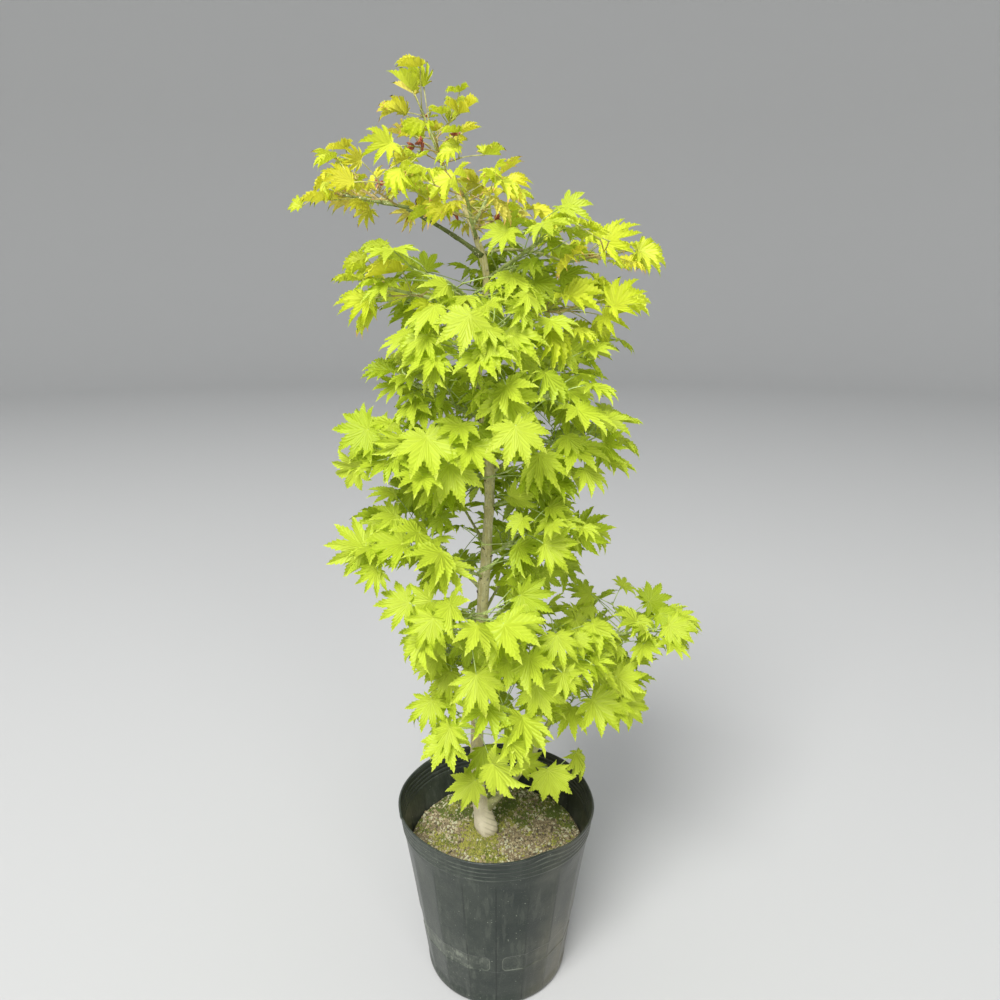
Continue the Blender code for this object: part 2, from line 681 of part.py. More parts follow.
def keep_largest_shell(bm):
    """Drops sealed hollows and loose scraps, so that one outer shell is left."""
    shells, seen = [], set()
    for face in bm.faces:
        if face in seen:
            continue
        shell, edge = [], [face]
        seen.add(face)
        while edge:
            current = edge.pop()
            shell.append(current)
            near = {f for e in current.edges for f in e.link_faces} - seen
            seen |= near
            edge += near
        shells.append(shell)
    shells.sort(key=len)
    for shell in shells[:-1]:
        bmesh.ops.delete(bm, geom=shell, context="FACES")


def make_mass(row, twigs, leaves, collection, material):
    """Fuses a mass's twigs, stalks and blades into one solid."""
    pieces = new_collection(row.name + "_pieces")
    body = add_mesh(row.name, twig_solid(*twigs[0]), collection, material)
    for i, twig in enumerate(twigs[1:]):
        add_mesh(f"{row.name}_twig_{i}", twig_solid(*twig), pieces)
    for i, leaf in enumerate(leaves):
        add_mesh(f"{row.name}_leaf_{i}", leaf_solid(leaf), pieces)
    fuse = body.modifiers.new("fuse", "BOOLEAN")
    fuse.operation = "UNION"
    fuse.operand_type = "COLLECTION"
    fuse.collection = pieces
    fuse.solver = "MANIFOLD"
    fused = evaluated_mesh(body)
    body.modifiers.clear()
    body.data = fused
    for piece in list(pieces.objects):
        bpy.data.objects.remove(piece)
    bpy.data.collections.remove(pieces)
    bm = bmesh.new()
    bm.from_mesh(fused)
    keep_largest_shell(bm)
    bm.to_mesh(fused)
    bm.free()
    return body


def shape_of(obj):
    bm = bmesh.new()
    bm.from_mesh(evaluated_mesh(obj))
    return bm


def stem_start(row, paths):
    """(point, direction) where a mass's stem starts, a hair clear of what carries it."""
    path = paths[row.parent]
    if row.height is None:
        direction = (path[-1][0] - path[-2][0]).normalized()
        return path[-1][0] + direction * GAP, direction
    outward = heading(row.compass, row.climb)
    centre, tangent, thickness = station_on(row.parent, path, row.height)
    return clear_of(centre, tangent, thickness, outward, STEM_RADIUS), outward


def leaf_colour(row, height):
    """Which of the leaf colours a mass has."""
    if height > GOLD_ABOVE:
        return "gold"
    low, high = SHADED_COMPASS
    return "green" if low < row.compass < high else "lime"


def main():
    clear_scene()
    parts = new_collection("potted_golden_maple")
    pot = make_pot(parts)
    soil = make_soil(parts)

    paths = {"trunk": trunk_path()}
    bark = finish("bark", BARK_COLOUR, 0.85)
    green_bark = finish("green_bark", BOUGH_COLOUR, 0.7)
    limbs = [make_limb("trunk", paths["trunk"], parts, bark, TRUNK_SIDES)]
    for limb in LIMBS:
        paths[limb.name] = limb_path(limb, paths[limb.parent])
        limbs.append(make_limb(limb.name, paths[limb.name], parts, green_bark, BOUGH_SIDES))

    crowd = Crowd()
    for obj in (pot, soil, *limbs):
        crowd.add(shape_of(obj))
    stems = {row.name: stem_twigs(row, *stem_start(row, paths)) for row in MASSES}
    for name, twigs in stems.items():
        for twig in twigs:
            crowd.add(clear_twig(twig), name)

    blades = {name: finish("leaf_" + name, colour, 0.5) for name, colour in LEAF_COLOURS.items()}
    for row in MASSES:
        twigs, leaves = grow_mass(row, stems[row.name], crowd)
        settle(twigs[2:], leaves, crowd)
        make_mass(row, twigs, leaves, parts, blades[leaf_colour(row, twigs[0].start.z)])


main()
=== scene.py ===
"""The looks of a young golden maple in a thin black nursery pot.

Leaves, twigs, bark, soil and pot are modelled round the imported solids, in metres, +Z up.
Compass angles are degrees seen from above: 0 is right, 90 the back, 180 left, 270 the front.
"""

import json
import random
from collections import namedtuple
from functools import cache, reduce
from math import atan2, copysign, cos, degrees, exp, hypot, pi, radians, sin, sqrt, tau

import bmesh
import bpy
from bpy.props import FloatProperty, FloatVectorProperty, IntProperty, PointerProperty
from mathutils import Euler, Matrix, Vector, noise
from mathutils.bvhtree import BVHTree

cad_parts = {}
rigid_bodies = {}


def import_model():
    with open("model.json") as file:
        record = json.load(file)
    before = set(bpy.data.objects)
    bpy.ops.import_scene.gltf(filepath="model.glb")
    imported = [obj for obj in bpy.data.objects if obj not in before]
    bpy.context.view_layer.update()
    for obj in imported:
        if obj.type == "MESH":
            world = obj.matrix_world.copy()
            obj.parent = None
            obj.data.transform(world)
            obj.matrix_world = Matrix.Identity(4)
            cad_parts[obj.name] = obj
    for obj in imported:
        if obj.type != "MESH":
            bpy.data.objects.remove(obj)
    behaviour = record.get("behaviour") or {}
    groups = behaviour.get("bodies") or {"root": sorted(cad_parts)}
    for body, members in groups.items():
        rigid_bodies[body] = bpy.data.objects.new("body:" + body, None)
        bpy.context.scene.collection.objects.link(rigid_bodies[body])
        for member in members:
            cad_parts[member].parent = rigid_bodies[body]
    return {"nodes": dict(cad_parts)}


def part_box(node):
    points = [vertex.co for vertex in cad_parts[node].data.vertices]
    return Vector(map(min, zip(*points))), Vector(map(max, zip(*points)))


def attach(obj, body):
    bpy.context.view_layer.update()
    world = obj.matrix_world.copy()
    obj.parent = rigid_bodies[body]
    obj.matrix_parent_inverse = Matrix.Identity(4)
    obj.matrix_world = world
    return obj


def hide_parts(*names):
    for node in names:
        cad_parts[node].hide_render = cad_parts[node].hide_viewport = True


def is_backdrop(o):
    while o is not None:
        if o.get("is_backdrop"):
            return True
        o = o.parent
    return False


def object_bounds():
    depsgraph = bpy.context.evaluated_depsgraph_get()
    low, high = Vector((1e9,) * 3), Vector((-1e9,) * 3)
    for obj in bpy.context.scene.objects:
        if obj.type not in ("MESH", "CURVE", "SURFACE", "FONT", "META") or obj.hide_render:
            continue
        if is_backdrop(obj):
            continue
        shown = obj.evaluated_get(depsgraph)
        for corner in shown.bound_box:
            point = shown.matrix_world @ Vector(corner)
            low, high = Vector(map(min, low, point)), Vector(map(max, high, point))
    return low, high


bl_info = {
    "name": "Potted Golden Maple",
    "version": (1, 0, 0),
    "blender": (4, 5, 0),
    "location": "3D View > Sidebar > Maple",
    "description": "Models a young golden maple with its pot, soil, bark, twigs and leaves",
    "category": "Add Mesh",
}

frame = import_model()
CAD_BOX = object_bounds()

# Clearances of the solids, and the sizes of the pot and the soil
GAP = 0.0003
END_GAP = 0.00015
POT_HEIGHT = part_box("pot")[1].z
POT_TOP_RADIUS = 0.105
POT_BASE_RADIUS = 0.0775
POT_WALL = 0.0015
POT_FLOOR = 0.0020
POT_EDGE_ROUND = 0.005
BAND_TOP = 0.071
BAND_FOOT = 0.051
SOIL_LEVEL = 0.157
SOIL_EDGE = 0.148
MOUND_FORM = ((0.22, 0.0), (0.45, 0.1), (0.68, 0.4), (0.94, 1.0))

# Trunk: its course as (height, right, back), and its taper
TRUNK_COURSE = (
    (0.157, -0.0110, 0.000),
    (0.210, -0.0202, 0.002),
    (0.290, -0.0205, 0.003),
    (0.390, -0.0165, 0.001),
    (0.500, -0.0088, -0.001),
    (0.575, -0.0065, 0.000),
    (0.668, -0.0169, 0.002),
    (0.752, -0.0089, 0.002),
    (0.790, -0.0190, 0.001),
    (0.815, -0.0300, 0.000),
    (0.838, -0.0425, 0.000),
)
TRUNK_BUTT_RADIUS = 0.0078
TRUNK_TIP_RADIUS = 0.0018
TRUNK_TAPER = 0.85
FLARE_RADIUS = 0.0055
FLARE_HEIGHT = 0.018

# Steps of the solids' limbs, and how far a bough sets off straight before it bends
FLARE_STATIONS = (0, 0.004, 0.010, 0.018, 0.030)
TRUNK_STEP = 0.026
TANGENT_STEP = 0.004
BOUGH_STEPS = 4
BOUGH_BEND = 0.45

# Blade of the solids: lobes as (angle, length), sinuses as (angle, depth); 1 is half the span
LOBES = ((0, 1.00), (38, 0.98), (76, 0.86), (122, 0.62))
SINUSES = ((19, 0.55), (57, 0.53), (99, 0.42))
NOTCH_DEPTH = 0.14
LOBE_DROOP = 0.24

# Radii of the solids' stalks, shoots and stems
STALK_RADIUS = 0.0010
TWIG_RADIUS = 0.0013
STEM_RADIUS = 0.0026
STEM_KNEE_RADIUS = 0.0023
STEM_TIP_RADIUS = 0.0018

# Growth rule of a mass: opposite pairs of leaves up a stem, every second pair upright
KNEE = 0.004
PAIR_SPREAD = 58
PAIR_LIFT = 0.2
PAIR_SHRINK = 0.2
UPRIGHT_ALONG = 0.7
UPRIGHT_ACROSS = 0.35
UPRIGHT_LIFT = 0.5
SHOOT_FIRST = 0.08
SHOOT_STEP = 0.22
SHOOT_SPREAD = 46
SHOOT_LENGTH = 0.60
SHOOT_LEAF_SIZE = 0.94
SPREAD_RANGE = (0.8, 1.25)
CLIMB_RANGE = (-0.15, 0.45)
LENGTH_RANGE = (0.75, 1.1)
STALK_SHARE = (0.38, 0.72)
SPAN_RANGE = (0.88, 1.08)
OUTWARD_PULL = 0.6
DROOP_RANGE = 14
LIGHT_PULL = 0.45
FACE_RANGE = 0.18
UNDERSIDE = 0.38
UNDERSIDE_TURN = 1.4
LEAF_TRIES = 18
STRAY = 0.16
STRAY_MORE = 0.03
REACH_SHARE = 1.05
CLEAR_GROWTH = 1.03
CLEAR_THICKNESS = 0.0022
ROOTED_SHARE = 0.3

# Boughs. A station is a height on the trunk, or a share of another bough's length.
Limb = namedtuple("Limb", "name parent station compass climb reach rise butt tip")
LIMBS = (
    Limb("bough_foot_right", "trunk", 0.182, 6, 42, 0.088, 0.150, 0.0042, 0.0030),
    Limb("bough_foot_outer", "bough_foot_right", 0.88, 6, 46, 0.056, 0.072, 0.0021, 0.0018),
    Limb("bough_foot_low", "bough_foot_right", 0.46, 282, 24, 0.022, 0.008, 0.0020, 0.0017),
    Limb("bough_foot_back", "bough_foot_right", 0.74, 70, 25, 0.045, 0.024, 0.0020, 0.0017),
    Limb("bough_skirt_front", "trunk", 0.306, 270, 35, 0.044, 0.028, 0.0024, 0.0018),
    Limb("bough_skirt_back", "trunk", 0.315, 98, 32, 0.045, 0.026, 0.0024, 0.0018),
    Limb("bough_waist_front", "trunk", 0.392, 262, 42, 0.040, 0.042, 0.0023, 0.0018),
    Limb("bough_waist_right", "trunk", 0.368, 322, 32, 0.046, 0.030, 0.0023, 0.0018),
    Limb("bough_waist_back", "trunk", 0.412, 62, 35, 0.046, 0.028, 0.0024, 0.0018),
    Limb("bough_low_left", "trunk", 0.444, 202, 44, 0.046, 0.054, 0.0024, 0.0018),
    Limb("bough_low_back", "trunk", 0.490, 122, 34, 0.046, 0.030, 0.0023, 0.0018),
    Limb("bough_middle_left", "trunk", 0.588, 213, 30, 0.044, 0.012, 0.0023, 0.0018),
    Limb("bough_middle_right", "trunk", 0.566, 347, 38, 0.052, 0.032, 0.0023, 0.0018),
    Limb("bough_middle_front", "trunk", 0.622, 304, 34, 0.052, 0.024, 0.0022, 0.0017),
    Limb("bough_middle_back", "trunk", 0.580, 68, 34, 0.048, 0.032, 0.0023, 0.0018),
    Limb("bough_shoulder_left", "trunk", 0.672, 200, 46, 0.046, 0.058, 0.0024, 0.0018),
    Limb("bough_shoulder_right", "trunk", 0.684, 346, 40, 0.046, 0.034, 0.0022, 0.0017),
    Limb("bough_shoulder_front", "trunk", 0.650, 262, 38, 0.046, 0.030, 0.0021, 0.0017),
    Limb("bough_shoulder_back", "trunk", 0.668, 112, 38, 0.046, 0.034, 0.0021, 0.0017),
    Limb("bough_upper_left", "trunk", 0.770, 188, 36, 0.068, 0.040, 0.0024, 0.0017),
    Limb("bough_upper_right", "trunk", 0.772, 357, 16, 0.073, -0.006, 0.0021, 0.0016),
)

# Masses of leaves. One with a height leaves the trunk there, and one without grows on at a tip.
Mass = namedtuple("Mass", "name parent height compass climb length pairs shoots span droop seed")
MASSES = (
    Mass("leaves_crown_tip", "trunk", None, 182, 68, 0.054, 3, 4, 0.062, 28, 208),
    Mass("leaves_upper_left", "bough_upper_left", None, 184, 10, 0.052, 3, 4, 0.066, 34, 207),
    Mass("leaves_upper_right", "bough_upper_right", None, 358, 10, 0.050, 3, 3, 0.066, 34, 107),
    Mass("leaves_upper_back", "trunk", 0.796, 72, 34, 0.056, 3, 2, 0.070, 26, 245),
    Mass("leaves_upper_front", "trunk", 0.786, 262, 30, 0.050, 3, 2, 0.068, 42, 203),
    Mass("leaves_neck_right", "trunk", 0.750, 322, 26, 0.058, 3, 2, 0.072, 40, 21),
    Mass("leaves_neck_left", "trunk", 0.722, 232, 26, 0.052, 2, 2, 0.072, 38, 25),
    Mass("leaves_neck_back", "trunk", 0.728, 62, 30, 0.060, 3, 2, 0.074, 28, 238),
    Mass("leaves_shoulder_left", "bough_shoulder_left", None, 188, 12, 0.044, 3, 3, 0.072, 26, 251),
    Mass("leaves_shoulder_right", "bough_shoulder_right", None, 348, 4, 0.048, 3, 3, 0.074, 34, 242),
    Mass("leaves_shoulder_front", "bough_shoulder_front", None, 262, 14, 0.050, 3, 3, 0.074, 44, 155),
    Mass("leaves_shoulder_back", "bough_shoulder_back", None, 112, 20, 0.050, 3, 3, 0.076, 30, 214),
    Mass("leaves_breast_right", "trunk", 0.632, 350, 26, 0.088, 3, 2, 0.074, 40, 206),
    Mass("leaves_middle_left", "bough_middle_left", None, 208, -2, 0.046, 3, 3, 0.076, 38, 231),
    Mass("leaves_middle_right", "bough_middle_right", None, 344, -6, 0.044, 3, 2, 0.074, 40, 126),
    Mass("leaves_middle_front", "bough_middle_front", None, 302, 4, 0.048, 3, 3, 0.074, 46, 210),
    Mass("leaves_middle_back", "bough_middle_back", None, 68, 14, 0.052, 3, 3, 0.078, 32, 21),
    Mass("leaves_breast_left", "trunk", 0.618, 206, 28, 0.058, 2, 2, 0.070, 36, 25),
    Mass("leaves_belly_left", "trunk", 0.560, 218, 24, 0.050, 2, 2, 0.072, 44, 155),
    Mass("leaves_belly_right", "trunk", 0.532, 326, 24, 0.050, 2, 2, 0.070, 42, 207),
    Mass("leaves_low_left", "bough_low_left", None, 192, 6, 0.044, 3, 3, 0.074, 28, 233),
    Mass("leaves_low_front", "trunk", 0.458, 232, 28, 0.040, 2, 2, 0.068, 40, 24),
    Mass("leaves_low_right", "trunk", 0.482, 330, 28, 0.072, 3, 2, 0.074, 38, 28),
    Mass("leaves_low_back", "bough_low_back", None, 122, 12, 0.052, 3, 3, 0.078, 34, 35),
    Mass("leaves_waist_front", "bough_waist_front", None, 262, -2, 0.042, 3, 2, 0.076, 54, 204),
    Mass("leaves_waist_left", "trunk", 0.362, 228, 32, 0.040, 2, 1, 0.070, 48, 256),
    Mass("leaves_waist_right", "bough_waist_right", None, 324, 4, 0.044, 3, 3, 0.074, 44, 231),
    Mass("leaves_waist_back", "bough_waist_back", None, 60, 12, 0.052, 3, 3, 0.078, 36, 218),
    Mass("leaves_skirt_front", "bough_skirt_front", None, 272, -4, 0.042, 3, 3, 0.076, 56, 253),
    Mass("leaves_skirt_back", "bough_skirt_back", None, 102, 6, 0.050, 3, 3, 0.078, 40, 254),
    Mass("leaves_foot_front", "trunk", 0.232, 288, 30, 0.044, 2, 1, 0.072, 58, 223),
    Mass("leaves_foot_right", "bough_foot_right", None, 342, -4, 0.048, 3, 3, 0.072, 40, 213),
    Mass("leaves_foot_outer", "bough_foot_outer", None, 2, 8, 0.044, 3, 4, 0.064, 18, 20),
    Mass("leaves_foot_low", "bough_foot_low", None, 294, 2, 0.034, 2, 2, 0.068, 50, 222),
    Mass("leaves_foot_back", "bough_foot_back", None, 58, 10, 0.046, 3, 2, 0.074, 34, 24),
)

# Which masses are gold, which green, the painted shade given to the masses at the back, and which have
# the colours of another family
GOLD_ABOVE = 0.76
SHADED_COMPASS = (40, 140)
OTHER_FAMILIES = {
    "leaves_shoulder_left": "gold",
    "leaves_shoulder_right": "gold",
    "leaves_foot_back": "lime",
}

# Finer twigs that the solids leave out, in rounds: above which height, where they leave a shoot,
# how far they turn from it, and how long they and how large their leaves are, as shares of their mass
FineRound = namedtuple("FineRound", "above places spread length leaf_size seed")
FINE_ROUNDS = (
    FineRound(0.29, (0.30, 0.66, 0.95), 52, (0.36, 0.62), (0.58, 0.90), 4000),
    FineRound(0.29, (0.12, 0.48, 0.82), 68, (0.30, 0.58), (0.50, 0.80), 6000),
    FineRound(0.45, (0.22, 0.60, 0.90), 36, (0.34, 0.66), (0.44, 0.66), 8000),
)
FINE_RADIUS = 0.0008

# Fine blade: half its nine lobes as (angle, length, width), and their sinuses as (angle, depth)
FINE_LOBES = (
    (0, 1.10, 0.168),
    (37, 1.07, 0.162),
    (74, 0.95, 0.146),
    (115, 0.70, 0.112),
    (153, 0.40, 0.072),
)
FINE_SINUSES = ((18.5, 0.50), (55.5, 0.48), (95, 0.38), (134, 0.22), (180, 0.05))

# Toothed margin of a lobe from its sinus to its tip, as (share of the way, share of the width).
# ROWS are the stations of its midrib, and CUTS say how many margin places stand between two of them.
MARGIN = (
    (0.0, None),
    (0.25, 1.20),
    (0.27, 0.96),
    (0.47, 1.16),
    (0.48, 0.78),
    (0.65, 0.82),
    (0.66, 0.46),
    (0.79, 0.50),
    (0.80, 0.26),
    (1.0, 0.0),
)
MARGIN_CUTS = (4, 2, 1)
MIDRIB_ROWS = (0.0, 0.49, 0.79, 1.0)
SMALL_MARGIN = ((0.0, None), (0.32, 1.05), (0.35, 0.76), (0.64, 0.74), (0.67, 0.42), (1.0, 0.0))
SMALL_CUTS = (3, 1)
SMALL_ROWS = (0.0, 0.60, 1.0)
SMALL_LOBE = 4

# Camera
CAMERA_PLACE = (0.004, -0.723, 0.7235)
CAMERA_PITCH = 14.3
CAMERA_LENS = 27.036

# Openings of the crown as (right, height, radius) on the upright plane through the trunk, seen from
# the camera, and the stretches of trunk that show in front, as (foot, top, half width) there
OPENINGS = (
    (-0.050, 0.762, 0.024),
    (-0.090, 0.774, 0.012),
    (0.135, 0.800, 0.024),
    (0.034, 0.812, 0.012),
    (0.040, 0.835, 0.018),
    (-0.055, 0.856, 0.012),
    (-0.052, 0.902, 0.012),
    (-0.014, 0.893, 0.014),
    (-0.008, 0.868, 0.010),
    (-0.145, 0.512, 0.020),
    (-0.152, 0.750, 0.012),
    (-0.109, 0.620, 0.010),
    (0.136, 0.578, 0.014),
    (0.080, 0.528, 0.018),
    (0.173, 0.319, 0.022),
    (-0.068, 0.288, 0.018),
    (-0.053, 0.235, 0.014),
    (0.085, 0.203, 0.014),
    (0.025, 0.198, 0.010),
)
BARE_TRUNK = (
    (0.415, 0.580, 0.026),
    (0.245, 0.285, 0.020),
    (0.335, 0.350, 0.016),
    (0.750, 0.800, 0.022),
    (0.150, 0.190, 0.018),
)

EYE = Vector(CAMERA_PLACE)
FRONT = Vector((0, -1, 0))
UP = Vector((0, 0, 1))

Twig = namedtuple("Twig", "start end butt tip")
Leaf = namedtuple("Leaf", "node base axis normal span")
Spray = namedtuple("Spray", "row twig leaves order")


def heading(compass, climb=0):
    """The unit vector along a compass angle that climbs by an angle, both in degrees."""
    a, e = radians(compass), radians(climb)
    return Vector((cos(a) * cos(e), sin(a) * cos(e), sin(e)))


def smooth_step(low, high, value):
    """0 below low, 1 above high, and a soft slope between."""
    t = min(max((value - low) / (high - low), 0), 1)
    return t * t * (3 - 2 * t)


def strayed(rng, most):
    """A vector with three random parts, each up to most either way."""
    return Vector([rng.uniform(-most, most) for _ in range(3)])


def bump(offset, width):
    """A bell of height 1 round zero."""
    return exp(-((offset / width) ** 2))


# Courses of trunk and boughs, as the solids have them


def curved(start, bend, end, steps):
    """Points along a curve from start to end that sets off towards bend."""
    points = []
    for i in range(steps + 1):
        t = i / steps
        points.append(start * (1 - t) ** 2 + bend * 2 * t * (1 - t) + end * t * t)
    return points


def smooth_between(stations, at):
    """The value at one place of a smooth curve through stations, each (place, value)."""
    last = len(stations) - 1
    i = max(k for k in range(last) if stations[k][0] <= at or k == 0)
    (x0, p0), (x1, p1) = stations[i], stations[i + 1]
    before = stations[max(i - 1, 0)]
    after = stations[min(i + 2, last)]
    slope0 = (p1 - before[1]) / (x1 - before[0])
    slope1 = (after[1] - p0) / (after[0] - x0)
    width = x1 - x0
    t = min(max((at - x0) / width, 0), 1)
    return (
        p0 * (2 * t**3 - 3 * t**2 + 1)
        + slope0 * width * (t**3 - 2 * t**2 + t)
        + p1 * (3 * t**2 - 2 * t**3)
        + slope1 * width * (t**3 - t**2)
    )


def trunk_centre(height):
    stations = [(z, Vector((x, y, z))) for z, x, y in TRUNK_COURSE]
    return smooth_between(stations, height)


def trunk_radius(height):
    foot, top = TRUNK_COURSE[0][0], TRUNK_COURSE[-1][0]
    left = max(top - height, 0) / (top - foot)
    flare = FLARE_RADIUS * exp(-(height - foot) / FLARE_HEIGHT)
    taper = (TRUNK_BUTT_RADIUS - TRUNK_TIP_RADIUS) * left**TRUNK_TAPER
    return TRUNK_TIP_RADIUS + taper + flare


def trunk_path():
    """(centre, radius) up the trunk, closer together in the flare. The foot runs straight up."""
    foot, top = TRUNK_COURSE[0][0], TRUNK_COURSE[-1][0]
    heights = [foot + station for station in FLARE_STATIONS]
    steps = round((top - heights[-1]) / TRUNK_STEP)
    heights += [heights[-1] + (top - heights[-1]) * (i + 1) / steps for i in range(steps)]
    path = [(trunk_centre(z), trunk_radius(z)) for z in heights]
    path[0][0].xy = path[1][0].xy
    return path


def limb_path(limb, parent, steps=BOUGH_STEPS):
    """(centre, radius) along a bough that starts clear of its parent's bark."""
    centre, tangent, thickness = station_on(limb.parent, parent, limb.station)
    outward = heading(limb.compass, limb.climb)
    start = clear_of(centre, tangent, thickness, outward, limb.butt)
    tip = centre + heading(limb.compass) * limb.reach + UP * limb.rise
    bend = start + outward * BOUGH_BEND * (tip - start).length
    points = curved(start, bend, tip, steps)
    return [(point, limb.butt + (limb.tip - limb.butt) * (i / steps)) for i, point in enumerate(points)]


def clear_of(centre, tangent, thickness, outward, radius):
    """Where a round limb that heads outward starts, with its flat end clear of its parent's bark."""
    along = abs(outward.dot(tangent))
    across = sqrt(1 - along * along)
    return centre + outward * (thickness + END_GAP + radius * along) / across


def station_on(name, path, station):
    """(centre, tangent, radius) of a parent limb at a height, or at a share of its length."""
    if name == "trunk":
        below, above = trunk_centre(station - TANGENT_STEP), trunk_centre(station + TANGENT_STEP)
        return trunk_centre(station), (above - below).normalized(), trunk_radius(below.z)
    place = station * (len(path) - 1)
    i = min(int(place), len(path) - 2)
    (a, ra), (b, rb) = path[i], path[i + 1]
    share = place - i
    return a.lerp(b, share), (b - a).normalized(), ra + (rb - ra) * share


@cache
def courses():
    """The path of the trunk and of every bough, by name."""
    paths = {"trunk": trunk_path()}
    for limb in LIMBS:
        paths[limb.name] = limb_path(limb, paths[limb.parent])
    return paths


# Growth of the masses, by the rule of the solids


def leaf_outline(span):
    """(x, y, z) round a plain leaf that points along +X, lobe tip and sinus in turn."""
    half = span / 2
    right = [(angle, length) for pair in zip(LOBES, SINUSES) for angle, length in pair]
    right.append(LOBES[-1])
    left = [(-angle, length) for angle, length in reversed(right[1:])]
    outline = []
    for angle, length in [*right, (180, NOTCH_DEPTH), *left]:
        a = radians(angle)
        fall = LOBE_DROOP * half * length**2
        outline.append(Vector((half * length * cos(a), half * length * sin(a), -fall)))
    return outline


def blade_solid(span, thickness):
    """A plain closed blade, thin at its lobed edge."""
    outline = leaf_outline(span)
    bm = bmesh.new()
    bmesh.ops.create_cone(
        bm, cap_ends=True, cap_tris=True, segments=len(outline), radius1=1, radius2=0, depth=thickness
    )
    edge = [v for v in bm.verts if v.co.xy.length > 0.5]
    edge.sort(key=lambda v: atan2(v.co.y, v.co.x) % tau)
    for vertex, place in zip(edge, outline):
        vertex.co = place
    return bm


def leaf_matrix(leaf):
    """The placing matrix of a leaf: X along its middle lobe, Z out of its upper face."""
    side = leaf.normal.cross(leaf.axis).normalized()
    turn = Matrix((leaf.axis, side, leaf.normal)).transposed().to_4x4()
    return Matrix.Translation(leaf.base) @ turn


def twig_solid(start, end, butt, tip):
    """A three-sided taper between two points."""
    along = end - start
    place = Matrix.Translation((start + end) / 2) @ along.to_track_quat("Z", "X").to_matrix().to_4x4()
    bm = bmesh.new()
    bmesh.ops.create_cone(
        bm, cap_ends=True, segments=3, radius1=butt, radius2=tip, depth=along.length, matrix=place
    )
    return bm


class Crowd:
    """Solids that a new leaf or twig has to stay clear of, each with the mass that it belongs to."""

    def __init__(self):
        self.trees = []

    def add(self, bm, owner=None):
        self.trees.append((BVHTree.FromBMesh(bm), *ball_round(bm), owner))
        bm.free()

    def touches(self, bm, but=""):
        tree = BVHTree.FromBMesh(bm)
        middle, room = ball_round(bm)
        for other, centre, radius, owner in self.trees:
            if owner == but or (centre - middle).length > room + radius:
                continue
            if tree.overlap(other):
                return True
        return False


def ball_round(bm):
    """(middle, radius) of a ball that holds a shape."""
    middle = sum((v.co for v in bm.verts), Vector()) / len(bm.verts)
    return middle, max((v.co - middle).length for v in bm.verts)


def clear_twig(twig):
    """The twig, a little thicker, as room to keep free round it."""
    return twig_solid(twig.start, twig.end, twig.butt + 2 * GAP, twig.tip + 2 * GAP)


def clear_blade(leaf):
    """The blade, a little larger and thicker, as room to keep free round it."""
    bm = blade_solid(leaf.span * CLEAR_GROWTH, CLEAR_THICKNESS)
    bmesh.ops.transform(bm, matrix=leaf_matrix(leaf), verts=bm.verts)
    return bm


def clear_stalk(leaf, rooted=0):
    """Room to keep free round a leaf's stalk, past the share of it that is rooted in its twig."""
    return clear_twig(Twig(leaf.node.lerp(leaf.base, rooted), leaf.base, STALK_RADIUS, STALK_RADIUS))


def aimed(stalk, outward, droop, rng):
    """(axis, normal) of a blade that hangs outwards, with its stalk on its underside."""
    fall = radians(droop)
    light = FRONT * LIGHT_PULL * (1 - max(outward.y, 0))
    face = UP * cos(fall) + outward * sin(fall) + light
    face += strayed(rng, FACE_RANGE)
    face.normalize()
    short = UNDERSIDE - face.dot(stalk)
    if short > 0:
        face = (face + stalk * short * UNDERSIDE_TURN).normalized()
    axis = outward * cos(fall) - UP * sin(fall)
    axis = (axis - face * axis.dot(face)).normalized()
    return axis, face


def keeps_in(row, stem, bm):
    """Whether a blade stays in its mass's own space, a ball about the middle of the stem."""
    middle = (stem[0] + stem[1]) / 2
    room = row.length / 2 + REACH_SHARE * row.span
    return all((v.co - middle).length < room for v in bm.verts)


def grow_leaf(row, stem, node, side, size, rng, crowd, own):
    """Tries a leaf on a stalk out of a node until one finds free room. Returns it, or None."""
    for attempt in range(LEAF_TRIES):
        stalk = (side + strayed(rng, STRAY + STRAY_MORE * attempt)).normalized()
        span = row.span * size * rng.uniform(*SPAN_RANGE)
        base = node + stalk * span * rng.uniform(*STALK_SHARE)
        outward = Vector((stalk.x, stalk.y, 0)) + heading(row.compass) * OUTWARD_PULL
        droop = row.droop + rng.uniform(-DROOP_RANGE, DROOP_RANGE)
        leaf = Leaf(node, base, *aimed(stalk, outward.normalized(), droop, rng), span)
        blade, whole, free = clear_blade(leaf), clear_stalk(leaf), clear_stalk(leaf, ROOTED_SHARE)
        fits = keeps_in(row, stem, blade)
        fits = fits and not any(crowd.touches(x, row.name) for x in (blade, whole))
        fits = fits and not any(own.touches(x) for x in (blade, free))
        whole.free()
        if fits:
            own.add(blade)
            own.add(free)
            return leaf
        blade.free()
        free.free()
    return None


def grow_shoot(row, stem, start, end, pairs, size, rng, crowd, own):
    """Leaves in opposite pairs along a straight shoot, each pair a quarter turn from the last."""
    leaves = []
    along = (end - start).normalized()
    across = along.cross(UP).normalized()
    spread = radians(PAIR_SPREAD)
    for i in range(pairs):
        node = start.lerp(end, (i + 1) / pairs)
        shrink = 1 - PAIR_SHRINK * i / pairs
        for sign in (-1, 1):
            if (pairs - i) % 2:
                side = along * cos(spread) + across * sign * sin(spread) + UP * PAIR_LIFT
            else:
                side = along * UPRIGHT_ALONG + across * sign * UPRIGHT_ACROSS
                side += UP * (PAIR_LIFT + UPRIGHT_LIFT * sign)
            leaf = grow_leaf(row, stem, node, side.normalized(), size * shrink, rng, crowd, own)
            if leaf:
                leaves.append(leaf)
    return leaves


